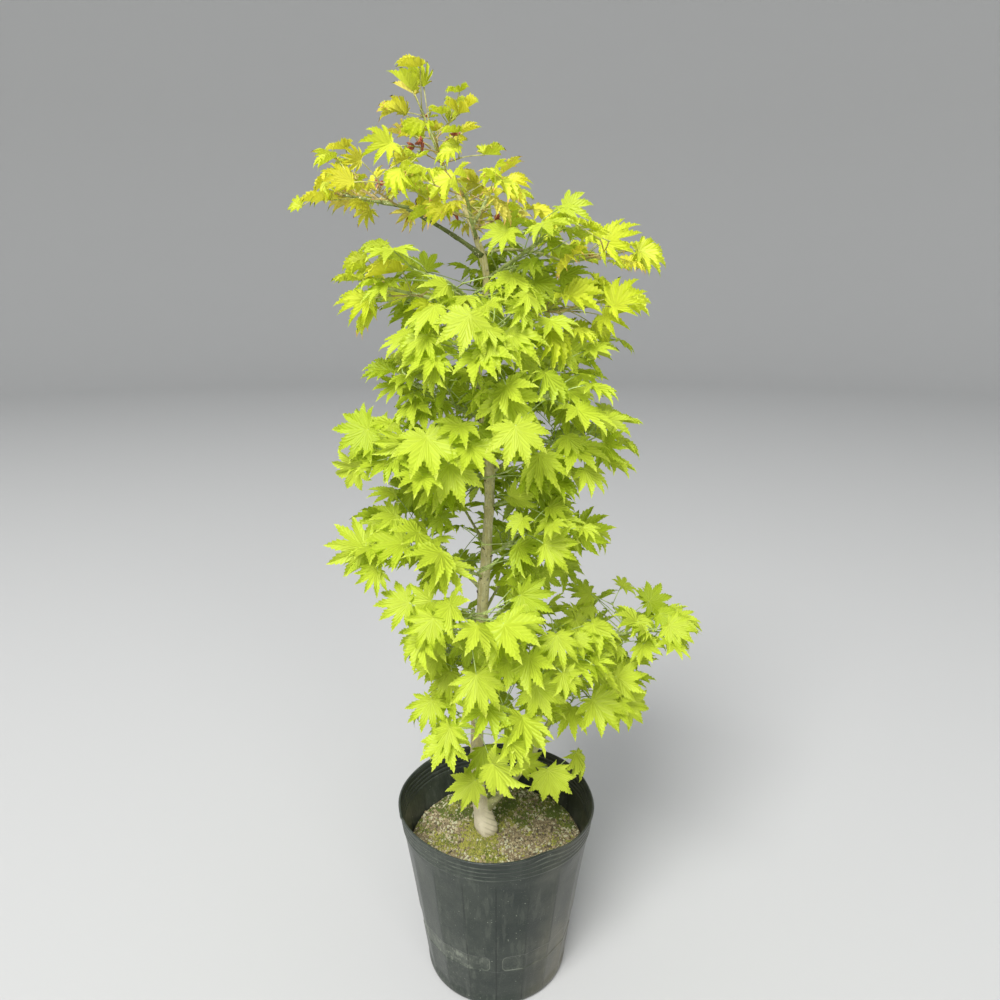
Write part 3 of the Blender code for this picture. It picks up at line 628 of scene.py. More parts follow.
def stem_twigs(row, start, direction):
    """The two twigs of a mass's stem: a short foot in line with what carries it, and the rest."""
    onward = heading(row.compass, row.climb)
    knee = start + direction * KNEE
    end = knee + onward * (row.length + STALK_RADIUS)
    return [
        Twig(start, knee + direction * STEM_RADIUS / 2, STEM_RADIUS, STEM_RADIUS),
        Twig(knee, end, STEM_KNEE_RADIUS, STEM_TIP_RADIUS),
    ]


def stem_start(row):
    """(point, direction) where a mass's stem starts, a hair clear of what carries it."""
    path = courses()[row.parent]
    if row.height is None:
        direction = (path[-1][0] - path[-2][0]).normalized()
        return path[-1][0] + direction * GAP, direction
    outward = heading(row.compass, row.climb)
    centre, tangent, thickness = station_on(row.parent, path, row.height)
    return clear_of(centre, tangent, thickness, outward, STEM_RADIUS), outward


def side_shoot(row, stem, number, rng):
    """(node, tip) of a side shoot. Shoots leave the stem to the left and right by turns."""
    onward = heading(row.compass, row.climb)
    across = onward.cross(UP).normalized() * (1 if number % 2 else -1)
    node = stem[0].lerp(stem[1], SHOOT_FIRST + SHOOT_STEP * number)
    spread = radians(SHOOT_SPREAD * rng.uniform(*SPREAD_RANGE))
    way = onward * cos(spread) + across * sin(spread) + UP * rng.uniform(*CLIMB_RANGE)
    return node, node + way.normalized() * row.length * SHOOT_LENGTH * rng.uniform(*LENGTH_RANGE)


def mass_stem(row, twigs):
    """(knee, end) of a mass's stem, between which its leaves stand."""
    knee = twigs[1].start
    return knee, knee + heading(row.compass, row.climb) * row.length


def grow_mass(row, twigs, crowd):
    """The sprays of one mass, grown along its stem by its seeded rule."""
    rng = random.Random(row.seed)
    stem = mass_stem(row, twigs)
    own = Crowd()
    sprays = [Spray(row, twigs[1], grow_shoot(row, stem, *stem, row.pairs, 1, rng, crowd, own), 0)]
    for number in range(row.shoots):
        node, tip = side_shoot(row, stem, number, rng)
        end = tip + (tip - node).normalized() * STALK_RADIUS
        shoot = Twig(node, end, TWIG_RADIUS, TWIG_RADIUS)
        free = shoot._replace(start=node.lerp(tip, ROOTED_SHARE))
        if crowd.touches(clear_twig(shoot), row.name) or own.touches(clear_twig(free)):
            continue
        own.add(clear_twig(free))
        found = grow_shoot(row, stem, node, tip, 1, SHOOT_LEAF_SIZE, rng, crowd, own)
        if found:
            sprays.append(Spray(row, shoot, found, 1))
    return sprays


def settle(sprays, crowd):
    """Adds a grown mass to what later leaves have to stay clear of."""
    for spray in sprays:
        if spray.order:
            crowd.add(clear_twig(spray.twig))
    for spray in sprays:
        for leaf in spray.leaves:
            crowd.add(clear_blade(leaf))
            crowd.add(clear_stalk(leaf))


def grow_finer(row, sprays, crowd, growth):
    """Finer twigs with smaller leaves out of a mass's shoots, wherever there is free room."""
    rng = random.Random(growth.seed + row.seed)
    stem = mass_stem(row, (None, sprays[0].twig))
    spread = radians(growth.spread)
    finer = []
    for spray in sprays:
        if spray.order > 1:
            continue
        start, end = spray.twig.start, spray.twig.end
        along = (end - start).normalized()
        across = along.cross(UP).normalized()
        for place in growth.places:
            for sign in (-1, 1):
                node = start.lerp(end, place)
                lift = UP * rng.uniform(*CLIMB_RANGE)
                way = along * cos(spread) + across * sign * sin(spread) + lift
                tip = node + way.normalized() * row.length * rng.uniform(*growth.length)
                twig = Twig(node, tip, FINE_RADIUS, FINE_RADIUS)
                free = twig._replace(start=node.lerp(tip, 2 * ROOTED_SHARE))
                size = rng.uniform(*growth.leaf_size)
                if crowd.touches(clear_twig(free), row.name):
                    continue
                own = Crowd()
                found = grow_shoot(row, stem, node, tip, 1, size, rng, crowd, own)
                if found:
                    finer.append(Spray(row, twig, found, 2))
                    settle(finer[-1:], crowd)
    return finer


@cache
def crown():
    """Every spray of the crown: those of the solids, and then the finer ones among them."""
    crowd = Crowd()
    for name in ("pot", "soil", "trunk", *(limb.name for limb in LIMBS)):
        bm = bmesh.new()
        bm.from_mesh(frame["nodes"][name].data)
        crowd.add(bm)
    stems = {row.name: stem_twigs(row, *stem_start(row)) for row in MASSES}
    for name, twigs in stems.items():
        for twig in twigs:
            crowd.add(clear_twig(twig), name)
    sprays = {}
    for row in MASSES:
        sprays[row.name] = grow_mass(row, stems[row.name], crowd)
        settle(sprays[row.name], crowd)
    for growth in FINE_ROUNDS:
        for row in (row for row in MASSES if stem_start(row)[0].z > growth.above):
            sprays[row.name] += grow_finer(row, sprays[row.name], crowd, growth)
    return {name: [shown_spray(spray) for spray in found] for name, found in sprays.items()}


def shown_spray(spray):
    return spray._replace(leaves=[leaf for leaf in spray.leaves if shown(leaf)])


def every_spray():
    for sprays in crown().values():
        yield from sprays


def mass_colour(row):
    """Which family of leaf colours a mass has; green, for the masses at the back, is painted shade."""
    if row.name in OTHER_FAMILIES:
        return OTHER_FAMILIES[row.name]
    if stem_start(row)[0].z > GOLD_ABOVE:
        return "gold"
    low, high = SHADED_COMPASS
    return "green" if low < row.compass < high else "lime"


# Helpers for pieces


SCRATCH = bpy.data.meshes.new("scratch")


def append(piece, bm, material=None):
    """Moves a small shape into a growing piece."""
    if material is not None:
        for face in bm.faces:
            face.material_index = material
    bm.to_mesh(SCRATCH)
    bm.free()
    piece.from_mesh(SCRATCH)


def make_piece(name, bm, materials, replaced=()):
    """An object at the origin that rides with the plant and stands for the replaced nodes."""
    mesh = bpy.data.meshes.new(name)
    for face in bm.faces:
        face.smooth = True
    bm.to_mesh(mesh)
    bm.free()
    for material in materials:
        mesh.materials.append(material)
    piece = bpy.data.objects.new(name, mesh)
    bpy.context.scene.collection.objects.link(piece)
    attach(piece, "root")
    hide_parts(*replaced)
    return piece


def ring_places(path):
    """A placing matrix for each (centre, radius) of a path, turned along it without twist."""
    places = []
    points = [centre for centre, _ in path]
    turn = None
    for i, (centre, radius) in enumerate(path):
        before, after = points[max(i - 1, 0)], points[min(i + 1, len(points) - 1)]
        way = (after - before).normalized()
        turn = way.to_track_quat("Z", "Y") if turn is None else last.rotation_difference(way) @ turn
        last = way
        places.append(Matrix.Translation(centre) @ turn.to_matrix().to_4x4() @ Matrix.Scale(radius, 4))
    return places


def tube(path, sides):
    """A round tube along (centre, radius), drawn out ring by ring and closed at both ends."""
    bm = bmesh.new()
    places = ring_places(path)
    bmesh.ops.create_circle(bm, cap_ends=True, segments=sides, radius=1, matrix=places[0])
    edges = list(bm.edges)
    for before, after in zip(places, places[1:]):
        drawn = bmesh.ops.extrude_edge_only(bm, edges=edges)["geom"]
        verts = [g for g in drawn if isinstance(g, bmesh.types.BMVert)]
        edges = [g for g in drawn if isinstance(g, bmesh.types.BMEdge)]
        bmesh.ops.transform(bm, matrix=after @ before.inverted(), verts=verts)
    bmesh.ops.contextual_create(bm, geom=edges)
    bmesh.ops.recalc_face_normals(bm, faces=bm.faces)
    return bm


def any_turn(rng):
    """A random turn."""
    return Euler([rng.uniform(0, tau) for _ in range(3)]).to_matrix().to_4x4()


# Forms that shapes and materials share: the pot's ridges, foot band and facets, the bark's folds
RIDGE_FIRST = 0.1940
RIDGE_PITCH = 0.0050
RIDGE_COUNT = 4
BAND_ROUND = 0.006
BAND_START = 0.007
BAND_SOFT = 0.0006
FACETS = 18
FOLD_SLOPE = 1.1
FOLD_SWAY = 0.0030
FOLD_TURN = 190
FOLD_PITCH = 0.0066
FOLDED_FROM = 0.015
FOLDED_HEIGHT = 0.055
LEAF_MAP = "lobe"
MOSS_LAYER = "moss"


def pot_radius(height):
    return POT_BASE_RADIUS + (POT_TOP_RADIUS - POT_BASE_RADIUS) * height / POT_HEIGHT


# Shader helpers


def solid(colour):
    return (*colour, 1.0)


def shade(colour, factor):
    return tuple(min(max(c * factor, 0), 1) for c in colour)


class Nodes:
    """Adds nodes to one node tree and joins them up."""

    def __init__(self, tree):
        self.tree = tree

    def add(self, kind, inputs=None, **settings):
        """A node whose inputs are given by name or number, each a socket or a value."""
        made = self.tree.nodes.new("ShaderNode" + kind)
        for key, value in settings.items():
            setattr(made, key, value)
        for key, value in (inputs or {}).items():
            self.feed(made.inputs[key], value)
        return made

    def feed(self, socket, value):
        if isinstance(value, bpy.types.NodeSocket):
            self.tree.links.new(value, socket)
        else:
            socket.default_value = value

    def group(self, tree, **values):
        """The outputs of a shader node group with its own values."""
        return self.add("Group", values, node_tree=tree).outputs

    def math(self, operation, first, second=0.0, third=0.0):
        return self.add("Math", {0: first, 1: second, 2: third}, operation=operation).outputs[0]

    def times(self, *values):
        return reduce(lambda first, second: self.math("MULTIPLY", first, second), values)

    def plus(self, first, second):
        return self.math("ADD", first, second)

    def minus(self, first, second):
        return self.math("SUBTRACT", first, second)

    def scaled(self, value, factor, more):
        """The value times a factor, and more added."""
        return self.math("MULTIPLY_ADD", value, factor, more)

    def largest(self, *values):
        return reduce(lambda first, second: self.math("MAXIMUM", first, second), values)

    def mix(self, share, first, second):
        """A colour between two colours, by the numbers of a colour mix's sockets."""
        made = self.add("Mix", data_type="RGBA")
        for number, value in ((0, share), (6, first), (7, second)):
            self.feed(made.inputs[number], value)
        return made.outputs[2]

    def tint(self, ground, colour, share):
        """The ground with a share of a plain colour over it."""
        return self.mix(share, ground, solid(colour))

    def shades(self, share, colour, first, second):
        """A colour between two shades of one colour."""
        return self.mix(share, solid(shade(colour, first)), solid(shade(colour, second)))

    def ramp(self, value, low, high, start=0.0, end=1.0):
        """A soft step of the value, from start at low to end at high."""
        inputs = {"Value": value, "From Min": low, "From Max": high, "To Min": start, "To Max": end}
        return self.add("MapRange", inputs, interpolation_type="SMOOTHSTEP").outputs[0]

    def fall(self, value, low, high):
        """A soft step down from 1 at low to 0 at high."""
        return self.ramp(value, low, high, 1.0, 0.0)

    def noise(self, vector, scale, detail, roughness=0.55):
        inputs = {"Vector": vector, "Scale": scale, "Detail": detail, "Roughness": roughness}
        return self.add("TexNoise", inputs).outputs[0]

    def place(self):
        """Object coordinates."""
        return self.add("TexCoord").outputs["Object"]

    def axes(self):
        """The x, y and z of the object coordinates."""
        return self.add("SeparateXYZ", {0: self.place()}).outputs

    def stretched(self, upward):
        """Object coordinates with their heights scaled."""
        return self.add("Mapping", {"Vector": self.place(), "Scale": (1.0, 1.0, upward)}).outputs[0]


def shader_group(name, inputs, outputs):
    """(nodes, given sockets, sockets to feed) of a new shader node group."""
    tree = bpy.data.node_groups.new(name, "ShaderNodeTree")
    for socket, value in inputs.items():
        made = tree.interface.new_socket(socket, in_out="INPUT", socket_type="NodeSocketFloat")
        made.default_value = value
    for socket in outputs:
        tree.interface.new_socket(socket, in_out="OUTPUT", socket_type="NodeSocketFloat")
    given, out = (tree.nodes.new(kind) for kind in ("NodeGroupInput", "NodeGroupOutput"))
    return Nodes(tree), given.outputs, out.inputs


@cache
def mottle_group():
    """Soft uneven patches and a fine grain, both from 0 to 1."""
    nodes, given, out = shader_group("mottle", {"Scale": 60.0}, ["Patches", "Grain"])
    patches = nodes.noise(nodes.place(), given["Scale"], 2.0)
    grain = nodes.noise(nodes.place(), nodes.times(given["Scale"], 9.0), 4.0, 0.65)
    nodes.feed(out["Patches"], nodes.ramp(patches, 0.35, 0.65))
    nodes.feed(out["Grain"], nodes.ramp(grain, 0.3, 0.7))
    return nodes.tree


@cache
def streak_group():
    """Long flecks that run up and down."""
    nodes, given, out = shader_group("upright_streaks", {"Scale": 300.0, "Amount": 0.5}, ["Streaks"])
    value = nodes.noise(nodes.stretched(0.14), given["Scale"], 3.0, 0.6)
    low = nodes.minus(0.78, nodes.times(given["Amount"], 0.4))
    nodes.feed(out["Streaks"], nodes.ramp(value, low, nodes.plus(low, 0.09)))
    return nodes.tree


@cache
def speck_group():
    """Small scattered specks of uneven size."""
    nodes, given, out = shader_group("specks", {"Scale": 300.0, "Size": 0.2}, ["Specks"])
    cells = nodes.add("TexVoronoi", {"Vector": nodes.place(), "Scale": given["Scale"]}).outputs
    chance = nodes.add("SeparateColor", {0: cells["Color"]}).outputs[0]
    size = nodes.times(given["Size"], nodes.math("POWER", chance, 3.0))
    nodes.feed(out["Specks"], nodes.math("LESS_THAN", cells["Distance"], size))
    return nodes.tree


@cache
def vein_group():
    """The midrib and side veins of a lobe, from the leaf's own map, and the quilting between them."""
    nodes, given, out = shader_group("leaf_veins", {"Side veins": 0.45}, ["Veins", "Quilt"])
    leaf_map = nodes.add("UVMap", uv_map=LEAF_MAP).outputs[0]
    along, across, _ = nodes.add("SeparateXYZ", {0: leaf_map}).outputs
    off_rib = nodes.math("ABSOLUTE", nodes.minus(across, 0.5))
    midrib = nodes.fall(off_rib, 0.008, 0.045)
    wave = nodes.minus(nodes.times(along, 8.0), nodes.times(off_rib, 3.4))
    line = nodes.math("SINE", nodes.times(wave, tau))
    side = nodes.times(nodes.ramp(line, 0.86, 1.0), given["Side veins"])
    nodes.feed(out["Veins"], nodes.largest(midrib, side))
    nodes.feed(out["Quilt"], nodes.minus(line, nodes.times(midrib, 2.0)))
    return nodes.tree


@cache
def band_group():
    """The foot band inside its rounded ends, its edge, the moulding seam and the wall's creases."""
    nodes, _, out = shader_group("foot_band", {}, ["Inside", "Edge", "Seam", "Creases"])
    x, y, z = nodes.axes()
    angle = nodes.math("ABSOLUTE", nodes.math("ARCTAN2", x, nodes.times(y, -1.0)))
    around = nodes.times(angle, pot_radius(BAND_TOP))
    right = nodes.minus(BAND_START + BAND_ROUND, around)
    middle = nodes.minus(z, (BAND_TOP + BAND_FOOT) / 2)
    high = nodes.minus(nodes.math("ABSOLUTE", middle), (BAND_TOP - BAND_FOOT) / 2 - BAND_ROUND)
    a, b = nodes.largest(right, 0.0), nodes.largest(high, 0.0)
    corner = nodes.math("SQRT", nodes.plus(nodes.times(a, a), nodes.times(b, b)))
    inner = nodes.math("MINIMUM", nodes.largest(right, high), 0.0)
    edge = nodes.minus(nodes.plus(corner, inner), BAND_ROUND)
    nodes.feed(out["Inside"], nodes.fall(edge, -BAND_SOFT, BAND_SOFT))
    nodes.feed(out["Edge"], nodes.fall(nodes.math("ABSOLUTE", edge), 0.0, 0.0011))
    low = nodes.fall(z, 0.165, 0.172)
    nodes.feed(out["Seam"], nodes.times(nodes.fall(around, 0.0002, 0.0007), low))
    half_facet = pi / FACETS * pot_radius(BAND_TOP)
    crease = nodes.fall(nodes.math("PINGPONG", around, half_facet), 0.0002, 0.0012)
    nodes.feed(out["Creases"], nodes.times(crease, low))
    return nodes.tree


@cache
def ridge_group():
    """The crests of the ridges under the pot's rim, the mask of the painted highlights on them."""
    nodes, _, out = shader_group("rim_ridges", {}, ["Crests"])
    z = nodes.axes()[2]
    wave = nodes.math("COSINE", nodes.times(nodes.minus(RIDGE_FIRST, z), tau / RIDGE_PITCH))
    last = RIDGE_FIRST - RIDGE_PITCH * (RIDGE_COUNT - 0.5)
    inside = nodes.ramp(z, last, last + 0.0005)
    nodes.feed(out["Crests"], nodes.times(nodes.ramp(wave, 0.55, 1.0), inside))
    return nodes.tree


@cache
def fold_group():
    """The slanting folds of the bark at the trunk's foot: 1 deep in their creases, 0 outside them."""
    nodes, _, out = shader_group("bark_folds", {}, ["Creases"])
    x, y, z = nodes.axes()
    sway = nodes.times(nodes.math("SINE", nodes.times(nodes.minus(y, x), FOLD_TURN)), FOLD_SWAY)
    turns = nodes.times(nodes.plus(nodes.scaled(x, FOLD_SLOPE, z), sway), tau / FOLD_PITCH)
    crease = nodes.fall(nodes.math("SINE", turns), -1.0, -0.25)
    low = nodes.fall(z, SOIL_LEVEL + FOLDED_FROM, SOIL_LEVEL + FOLDED_HEIGHT)
    right = nodes.ramp(x, TRUNK_COURSE[0][1] - 0.008, TRUNK_COURSE[0][1] + 0.006)
    nodes.feed(out["Creases"], nodes.times(crease, low, right))
    return nodes.tree


# Materials


def new_material(name, roughness):
    """(material, nodes, its Principled shader)"""
    material = bpy.data.materials.new(name)
    material.use_nodes = True
    shader = material.node_tree.nodes["Principled BSDF"]
    shader.inputs["Roughness"].default_value = roughness
    return material, Nodes(material.node_tree), shader


def surface(nodes, shader, colour, height, distance, strength=1.0):
    """Gives a shader its colour, and a relief by a height from 0 to 1, distance metres high."""
    nodes.feed(shader.inputs["Base Color"], colour)
    bumped = nodes.add("Bump", {"Height": height, "Distance": distance, "Strength": strength})
    nodes.feed(shader.inputs["Normal"], bumped.outputs[0])


def pot_material(look):
    """Thin black plastic with dust streaks and a frosted band at its foot, painted highlights on its
    ridge crests and band edge, painted reflection on its left side and, with dirt, low on its right, and
    painted shade along its seam and creases.
    """
    material, nodes, shader = new_material("black_pot_plastic", look.roughness)
    shader.inputs["Specular IOR Level"].default_value = 0.38
    x, _, z = nodes.axes()
    patches, grain = nodes.group(mottle_group(), Scale=38.0)
    streaks = nodes.group(streak_group(), Scale=150.0, Amount=0.60)[0]
    specks = nodes.group(speck_group(), Scale=240.0, Size=0.15)[0]
    fine = nodes.group(speck_group(), Scale=700.0, Size=0.22)[0]
    band = nodes.group(band_group())
    # painted highlight: the crests of the ridges under the rim are lightened with the dust's colour,
    # broken up by noise
    ridges = nodes.group(ridge_group())[0]
    flattened = nodes.stretched(2.0)
    scratches = nodes.ramp(nodes.noise(nodes.stretched(0.7), 230.0, 5.0, 0.72), 0.47, 0.66)
    patchy = nodes.scaled(patches, 0.45, 0.55)
    # painted reflection: this mask is 1 on the pot's left side and 0.1 on its right, and lightens the
    # dust, the frosted band and the scratches there
    left = nodes.ramp(x, -0.095, 0.02, 1.0, 0.10)
    right = nodes.ramp(x, 0.015, 0.080)
    low = nodes.ramp(z, 0.045, 0.120, 1.0, 0.25)
    frost_and_left_reflection = nodes.times(band["Inside"], patchy, left, nodes.scaled(scratches, 1.10, 0.30))
    scratches_and_left_reflection = nodes.times(left, low, scratches, 0.22)
    # painted highlight: a pale line along the edge of the sunken foot band
    edge = nodes.times(band["Edge"], nodes.scaled(patches, 0.90, 0.10), 0.50)
    crest_highlight_breaks = nodes.scaled(nodes.noise(flattened, 90.0, 4.0, 0.7), 1.6, -0.45)
    dust_and_left_reflection = nodes.scaled(left, 0.09, nodes.scaled(patches, 0.05, nodes.times(streaks, 0.07)))
    dust_and_left_reflection = nodes.plus(dust_and_left_reflection, nodes.largest(frost_and_left_reflection, scratches_and_left_reflection))
    # real dust, plus the painted highlights on the crests and band edge and the painted reflection on
    # the left, all laid on in the dust's colour
    dusty = nodes.times(nodes.largest(dust_and_left_reflection, edge, nodes.times(ridges, crest_highlight_breaks, 0.60)), look.dust)
    colour = nodes.tint(solid(look.colour), look.dust_colour, dusty)
    # dirt and painted reflection: a brown tint low on the pot's right side
    colour = nodes.tint(colour, look.dirt_colour, nodes.times(right, low, patchy, 0.62))
    spotted = nodes.times(nodes.largest(specks, nodes.times(fine, 0.6)), 0.32)
    colour = nodes.tint(colour, shade(look.dust_colour, 1.5), spotted)
    # painted shade: the moulding seam and the wall's creases are darkened
    seam_and_crease_shade = nodes.times(nodes.largest(band["Seam"], nodes.times(band["Creases"], patches, 0.8)), 0.75)
    colour = nodes.tint(colour, shade(look.colour, 0.5), seam_and_crease_shade)
    nodes.feed(shader.inputs["Roughness"], nodes.scaled(dusty, 0.4, look.roughness))
    crumpled = nodes.times(nodes.noise(flattened, 70.0, 3.0, 0.6), nodes.ramp(z, 0.165, 0.176), 9.0)
    relief = nodes.plus(nodes.scaled(band["Seam"], 2.0, grain), crumpled)
    surface(nodes, shader, colour, relief, 0.00010, 0.6)
    return material


def soil_material(name, colour, mossy=None):
    """Crumbly mineral soil, lighter and darker in its grain, and green where moss grows on it."""
    material, nodes, shader = new_material(name, 0.95)
    patches, grain = nodes.group(mottle_group(), Scale=170.0)
    ground = nodes.shades(grain, colour, 0.62, 1.25)
    if mossy:
        share = nodes.add("Attribute", attribute_name=MOSS_LAYER).outputs["Fac"]
        ground = nodes.tint(ground, mossy, nodes.times(share, nodes.scaled(patches, 0.7, 0.3)))
    surface(nodes, shader, ground, grain, 0.0005)
    return material


def bark_material(look):
    """Grey-brown bark with pale upright flecks, greener towards the top, pale at the foot and painted
    paler there as painted light, and darkened in the creases of its folds as painted shade.
    """
    material, nodes, shader = new_material("trunk_bark", 0.85)
    z = nodes.axes()[2]
    patches, grain = nodes.group(mottle_group(), Scale=110.0)
    flecks = nodes.group(streak_group(), Scale=620.0, Amount=0.62)[0]
    wide = nodes.group(streak_group(), Scale=210.0, Amount=0.72)[0]
    pores = nodes.group(speck_group(), Scale=520.0, Size=0.42)[0]
    folds = nodes.group(fold_group())[0]
    # painted light: the bark at the foot is pale, and is painted paler still to make up for the crown's
    # shade there
    foot = nodes.ramp(z, 0.170, 0.240, 0.95, 0.10)
    ground = nodes.tint(solid(look.bark), look.young_bark, nodes.ramp(z, 0.30, 0.78))
    ground = nodes.tint(ground, look.fleck, nodes.times(wide, 0.5))
    ground = nodes.tint(ground, look.foot_bark, foot)
    # the dark patches fade at the foot, as do the pores further down, part of the painted light there
    dark = nodes.times(nodes.minus(1.0, patches), nodes.scaled(foot, -0.34, 0.44))
    ground = nodes.tint(ground, shade(look.bark, 0.42), dark)
    ground = nodes.tint(ground, look.fleck, nodes.times(flecks, 0.75))
    # painted shade: the creases of the folds at the foot are darkened
    ground = nodes.tint(ground, shade(look.bark, 0.6), nodes.times(folds, 0.50))
    pitted = nodes.times(pores, nodes.scaled(foot, -0.5, 0.6))
    ground = nodes.tint(ground, shade(look.bark, 0.30), pitted)
    surface(nodes, shader, ground, nodes.plus(flecks, grain), 0.0003)
    return material


def young_bark_material(name, colour, fleck):
    """Smooth green bark with fine pale pores."""
    material, nodes, shader = new_material(name, 0.6)
    patches, grain = nodes.group(mottle_group(), Scale=160.0)
    pores = nodes.group(speck_group(), Scale=700.0, Size=0.5)[0]
    ground = nodes.tint(nodes.shades(patches, colour, 0.72, 1.2), fleck, nodes.times(pores, 0.7))
    surface(nodes, shader, ground, grain, 0.00015)
    return material


def leaf_material(name, colour, look):
    """A thin soft leaf that lets light through, with pale veins from its own map and painted shade in
    the hollows between them and along the midribs.
    """
    material, nodes, shader = new_material(name, look.roughness)
    shader.inputs["Specular IOR Level"].default_value = 0.4
    veins, quilt = nodes.group(vein_group())
    patches = nodes.group(mottle_group(), Scale=90.0)[0]
    ground = nodes.shades(nodes.times(patches, 0.35), colour, 1.0, 0.86)
    # painted shade: darker in the troughs between the side veins and along the fold of each midrib
    ground = nodes.tint(ground, shade(colour, 0.62), nodes.ramp(quilt, -1.0, 0.7, 0.20, 0.0))
    ground = nodes.tint(ground, look.vein_colour, nodes.times(veins, look.vein_strength))
    surface(nodes, shader, ground, quilt, 0.0003, 0.5)
    glow = nodes.add("BsdfTranslucent", {"Color": ground})
    both = nodes.add("MixShader", {0: look.see_through, 1: shader.outputs[0], 2: glow.outputs[0]})
    nodes.feed(material.node_tree.nodes["Material Output"].inputs["Surface"], both.outputs[0])
    return material


def bud_material(colour):
    """Waxy red scales, darker in patches."""
    material, nodes, shader = new_material("red_bud_scale", 0.45)
    patches, grain = nodes.group(mottle_group(), Scale=260.0)
    surface(nodes, shader, nodes.shades(patches, colour, 0.6, 1.2), grain, 0.0001)
    return material


# Pot


# Ridges under the rim, the rolled lip, the foot band's step and the flats of the wall
RIDGE_WIDTH = 0.0009
RIDGE_HEIGHT = 0.0007
LIP_WIDTH = 0.0012
BAND_STEP = 0.0008
FACET_DEPTH = 0.0013
POT_SEGMENTS = 180

# Stretches of the wall as (top, foot, how far apart its rings are)
WALL_SPANS = (
    (0.1990, 0.1740, 0.0005),
    (0.1740, 0.0760, 0.0049),
    (0.0760, 0.0480, 0.0006),
    (0.0480, 0.0050, 0.0036),
)

# Where the soft rim starts to stray, its dent, in rim waves, and its notch, in metres
WAVY_FROM = 0.10
DENT_COMPASS = 299
DENT_WIDTH = 10
DENT_FROM = 0.175
DENT_IN = 3.8
DENT_DOWN = 1.3
NOTCH_COMPASS = 197
NOTCH_WIDTH = 2.2
NOTCH_FROM = 0.196
NOTCH_DOWN = 0.0045


def pot_inner_radius(height):
    return pot_radius(height) - BAND_STEP - POT_WALL


def ridge_rise(height):
    """How far the thin ridges under the rim stand out at a height."""
    ridges = (RIDGE_FIRST - RIDGE_PITCH * i for i in range(RIDGE_COUNT))
    return sum(RIDGE_HEIGHT * bump(height - ridge, RIDGE_WIDTH) for ridge in ridges)


def wall_heights():
    """Heights down the wall, close together where it has ridges and steps."""
    heights = []
    for high, low, step in WALL_SPANS:
        count = round((high - low) / step)
        heights += [high + (low - high) * i / count for i in range(count)]
    return [*heights, WALL_SPANS[-1][1]]


def pot_profile():
    """(radius, height) from the axis inside, up over the lip and down the outside to the axis."""
    heights = wall_heights()
    profile = [(0, POT_FLOOR), (pot_inner_radius(0) - POT_EDGE_ROUND, POT_FLOOR)]
    for z in reversed([z for z in heights if z > 2 * POT_EDGE_ROUND]):
        profile.append((pot_radius(z) - POT_WALL - BAND_STEP * (z < BAND_TOP) + ridge_rise(z), z))
    lip = POT_TOP_RADIUS - POT_WALL / 2 + LIP_WIDTH / 2
    for angle in range(180, -91, -45):
        a = radians(angle)
        profile.append((lip + LIP_WIDTH * cos(a), POT_HEIGHT - LIP_WIDTH + LIP_WIDTH * sin(a)))
    profile += [(pot_radius(z) + ridge_rise(z), z) for z in heights]
    edge = pot_radius(POT_EDGE_ROUND) - POT_EDGE_ROUND
    for angle in range(15, 91, 15):
        a = radians(angle)
        profile.append((edge + POT_EDGE_ROUND * cos(a), POT_EDGE_ROUND * (1 - sin(a))))
    return [*profile, (0, 0)]


def turned(profile, segments):
    """A closed turned shape of (radius, height) from axis to axis."""
    bm = bmesh.new()
    line = [bm.verts.new((radius, 0, height)) for radius, height in profile]
    edges = [bm.edges.new(pair) for pair in zip(line, line[1:])]
    bmesh.ops.spin(
        bm, geom=[*line, *edges], cent=(0, 0, 0), axis=UP, angle=tau, steps=segments, use_merge=True
    )
    bmesh.ops.remove_doubles(bm, verts=bm.verts, dist=1e-6)
    bmesh.ops.recalc_face_normals(bm, faces=bm.faces)
    return bm


def compass_off(angle, compass):
    """How many degrees an angle lies from a compass angle, from -180 to 180."""
    return (angle - compass + 180) % 360 - 180


def pot_shift(place, look):
    """(outward, upward) by which the soft pot strays from a true cone at a place of its wall."""
    a, height = atan2(place.y, place.x), place.z
    angle = degrees(a)
    wave = look.wave * smooth_step(WAVY_FROM, POT_HEIGHT, height)
    out = wave * (cos(2 * a + 0.7) + 0.45 * cos(5 * a + 2.1))
    up = -0.55 * wave * (cos(3 * a + 0.4) + 0.6 * cos(7 * a))
    dent = bump(compass_off(angle, DENT_COMPASS), DENT_WIDTH)
    dent *= smooth_step(DENT_FROM, POT_HEIGHT, height)
    out -= DENT_IN * look.wave * dent
    up -= DENT_DOWN * look.wave * dent
    notch = bump(compass_off(angle, NOTCH_COMPASS), NOTCH_WIDTH)
    up -= NOTCH_DOWN * notch * smooth_step(NOTCH_FROM, POT_HEIGHT, height)
    facet = ((angle - 270) * FACETS / 360) % 1
    flat = smooth_step(0.006, 0.014, height) * (1 - smooth_step(0.150, 0.176, height))
    out -= FACET_DEPTH * 4 * facet * (1 - facet) * flat
    if place.xy.length > pot_inner_radius(height) + POT_WALL / 2:
        out -= BAND_STEP * (1 - smooth_step(-BAND_SOFT, BAND_SOFT, band_edge(angle, height)))
        out -= 0.5 * BAND_STEP * (1 - smooth_step(BAND_FOOT - 0.001, BAND_FOOT, height))
    return out, up


def band_edge(angle, height):
    """How far a place of the wall lies outside the sunken foot band, which has rounded ends."""
    around = abs(radians(compass_off(angle, 270))) * pot_radius(height)
    right = BAND_START + BAND_ROUND - around
    up = abs(height - (BAND_TOP + BAND_FOOT) / 2) - ((BAND_TOP - BAND_FOOT) / 2 - BAND_ROUND)
    return hypot(max(right, 0), max(up, 0)) + min(max(right, up), 0) - BAND_ROUND


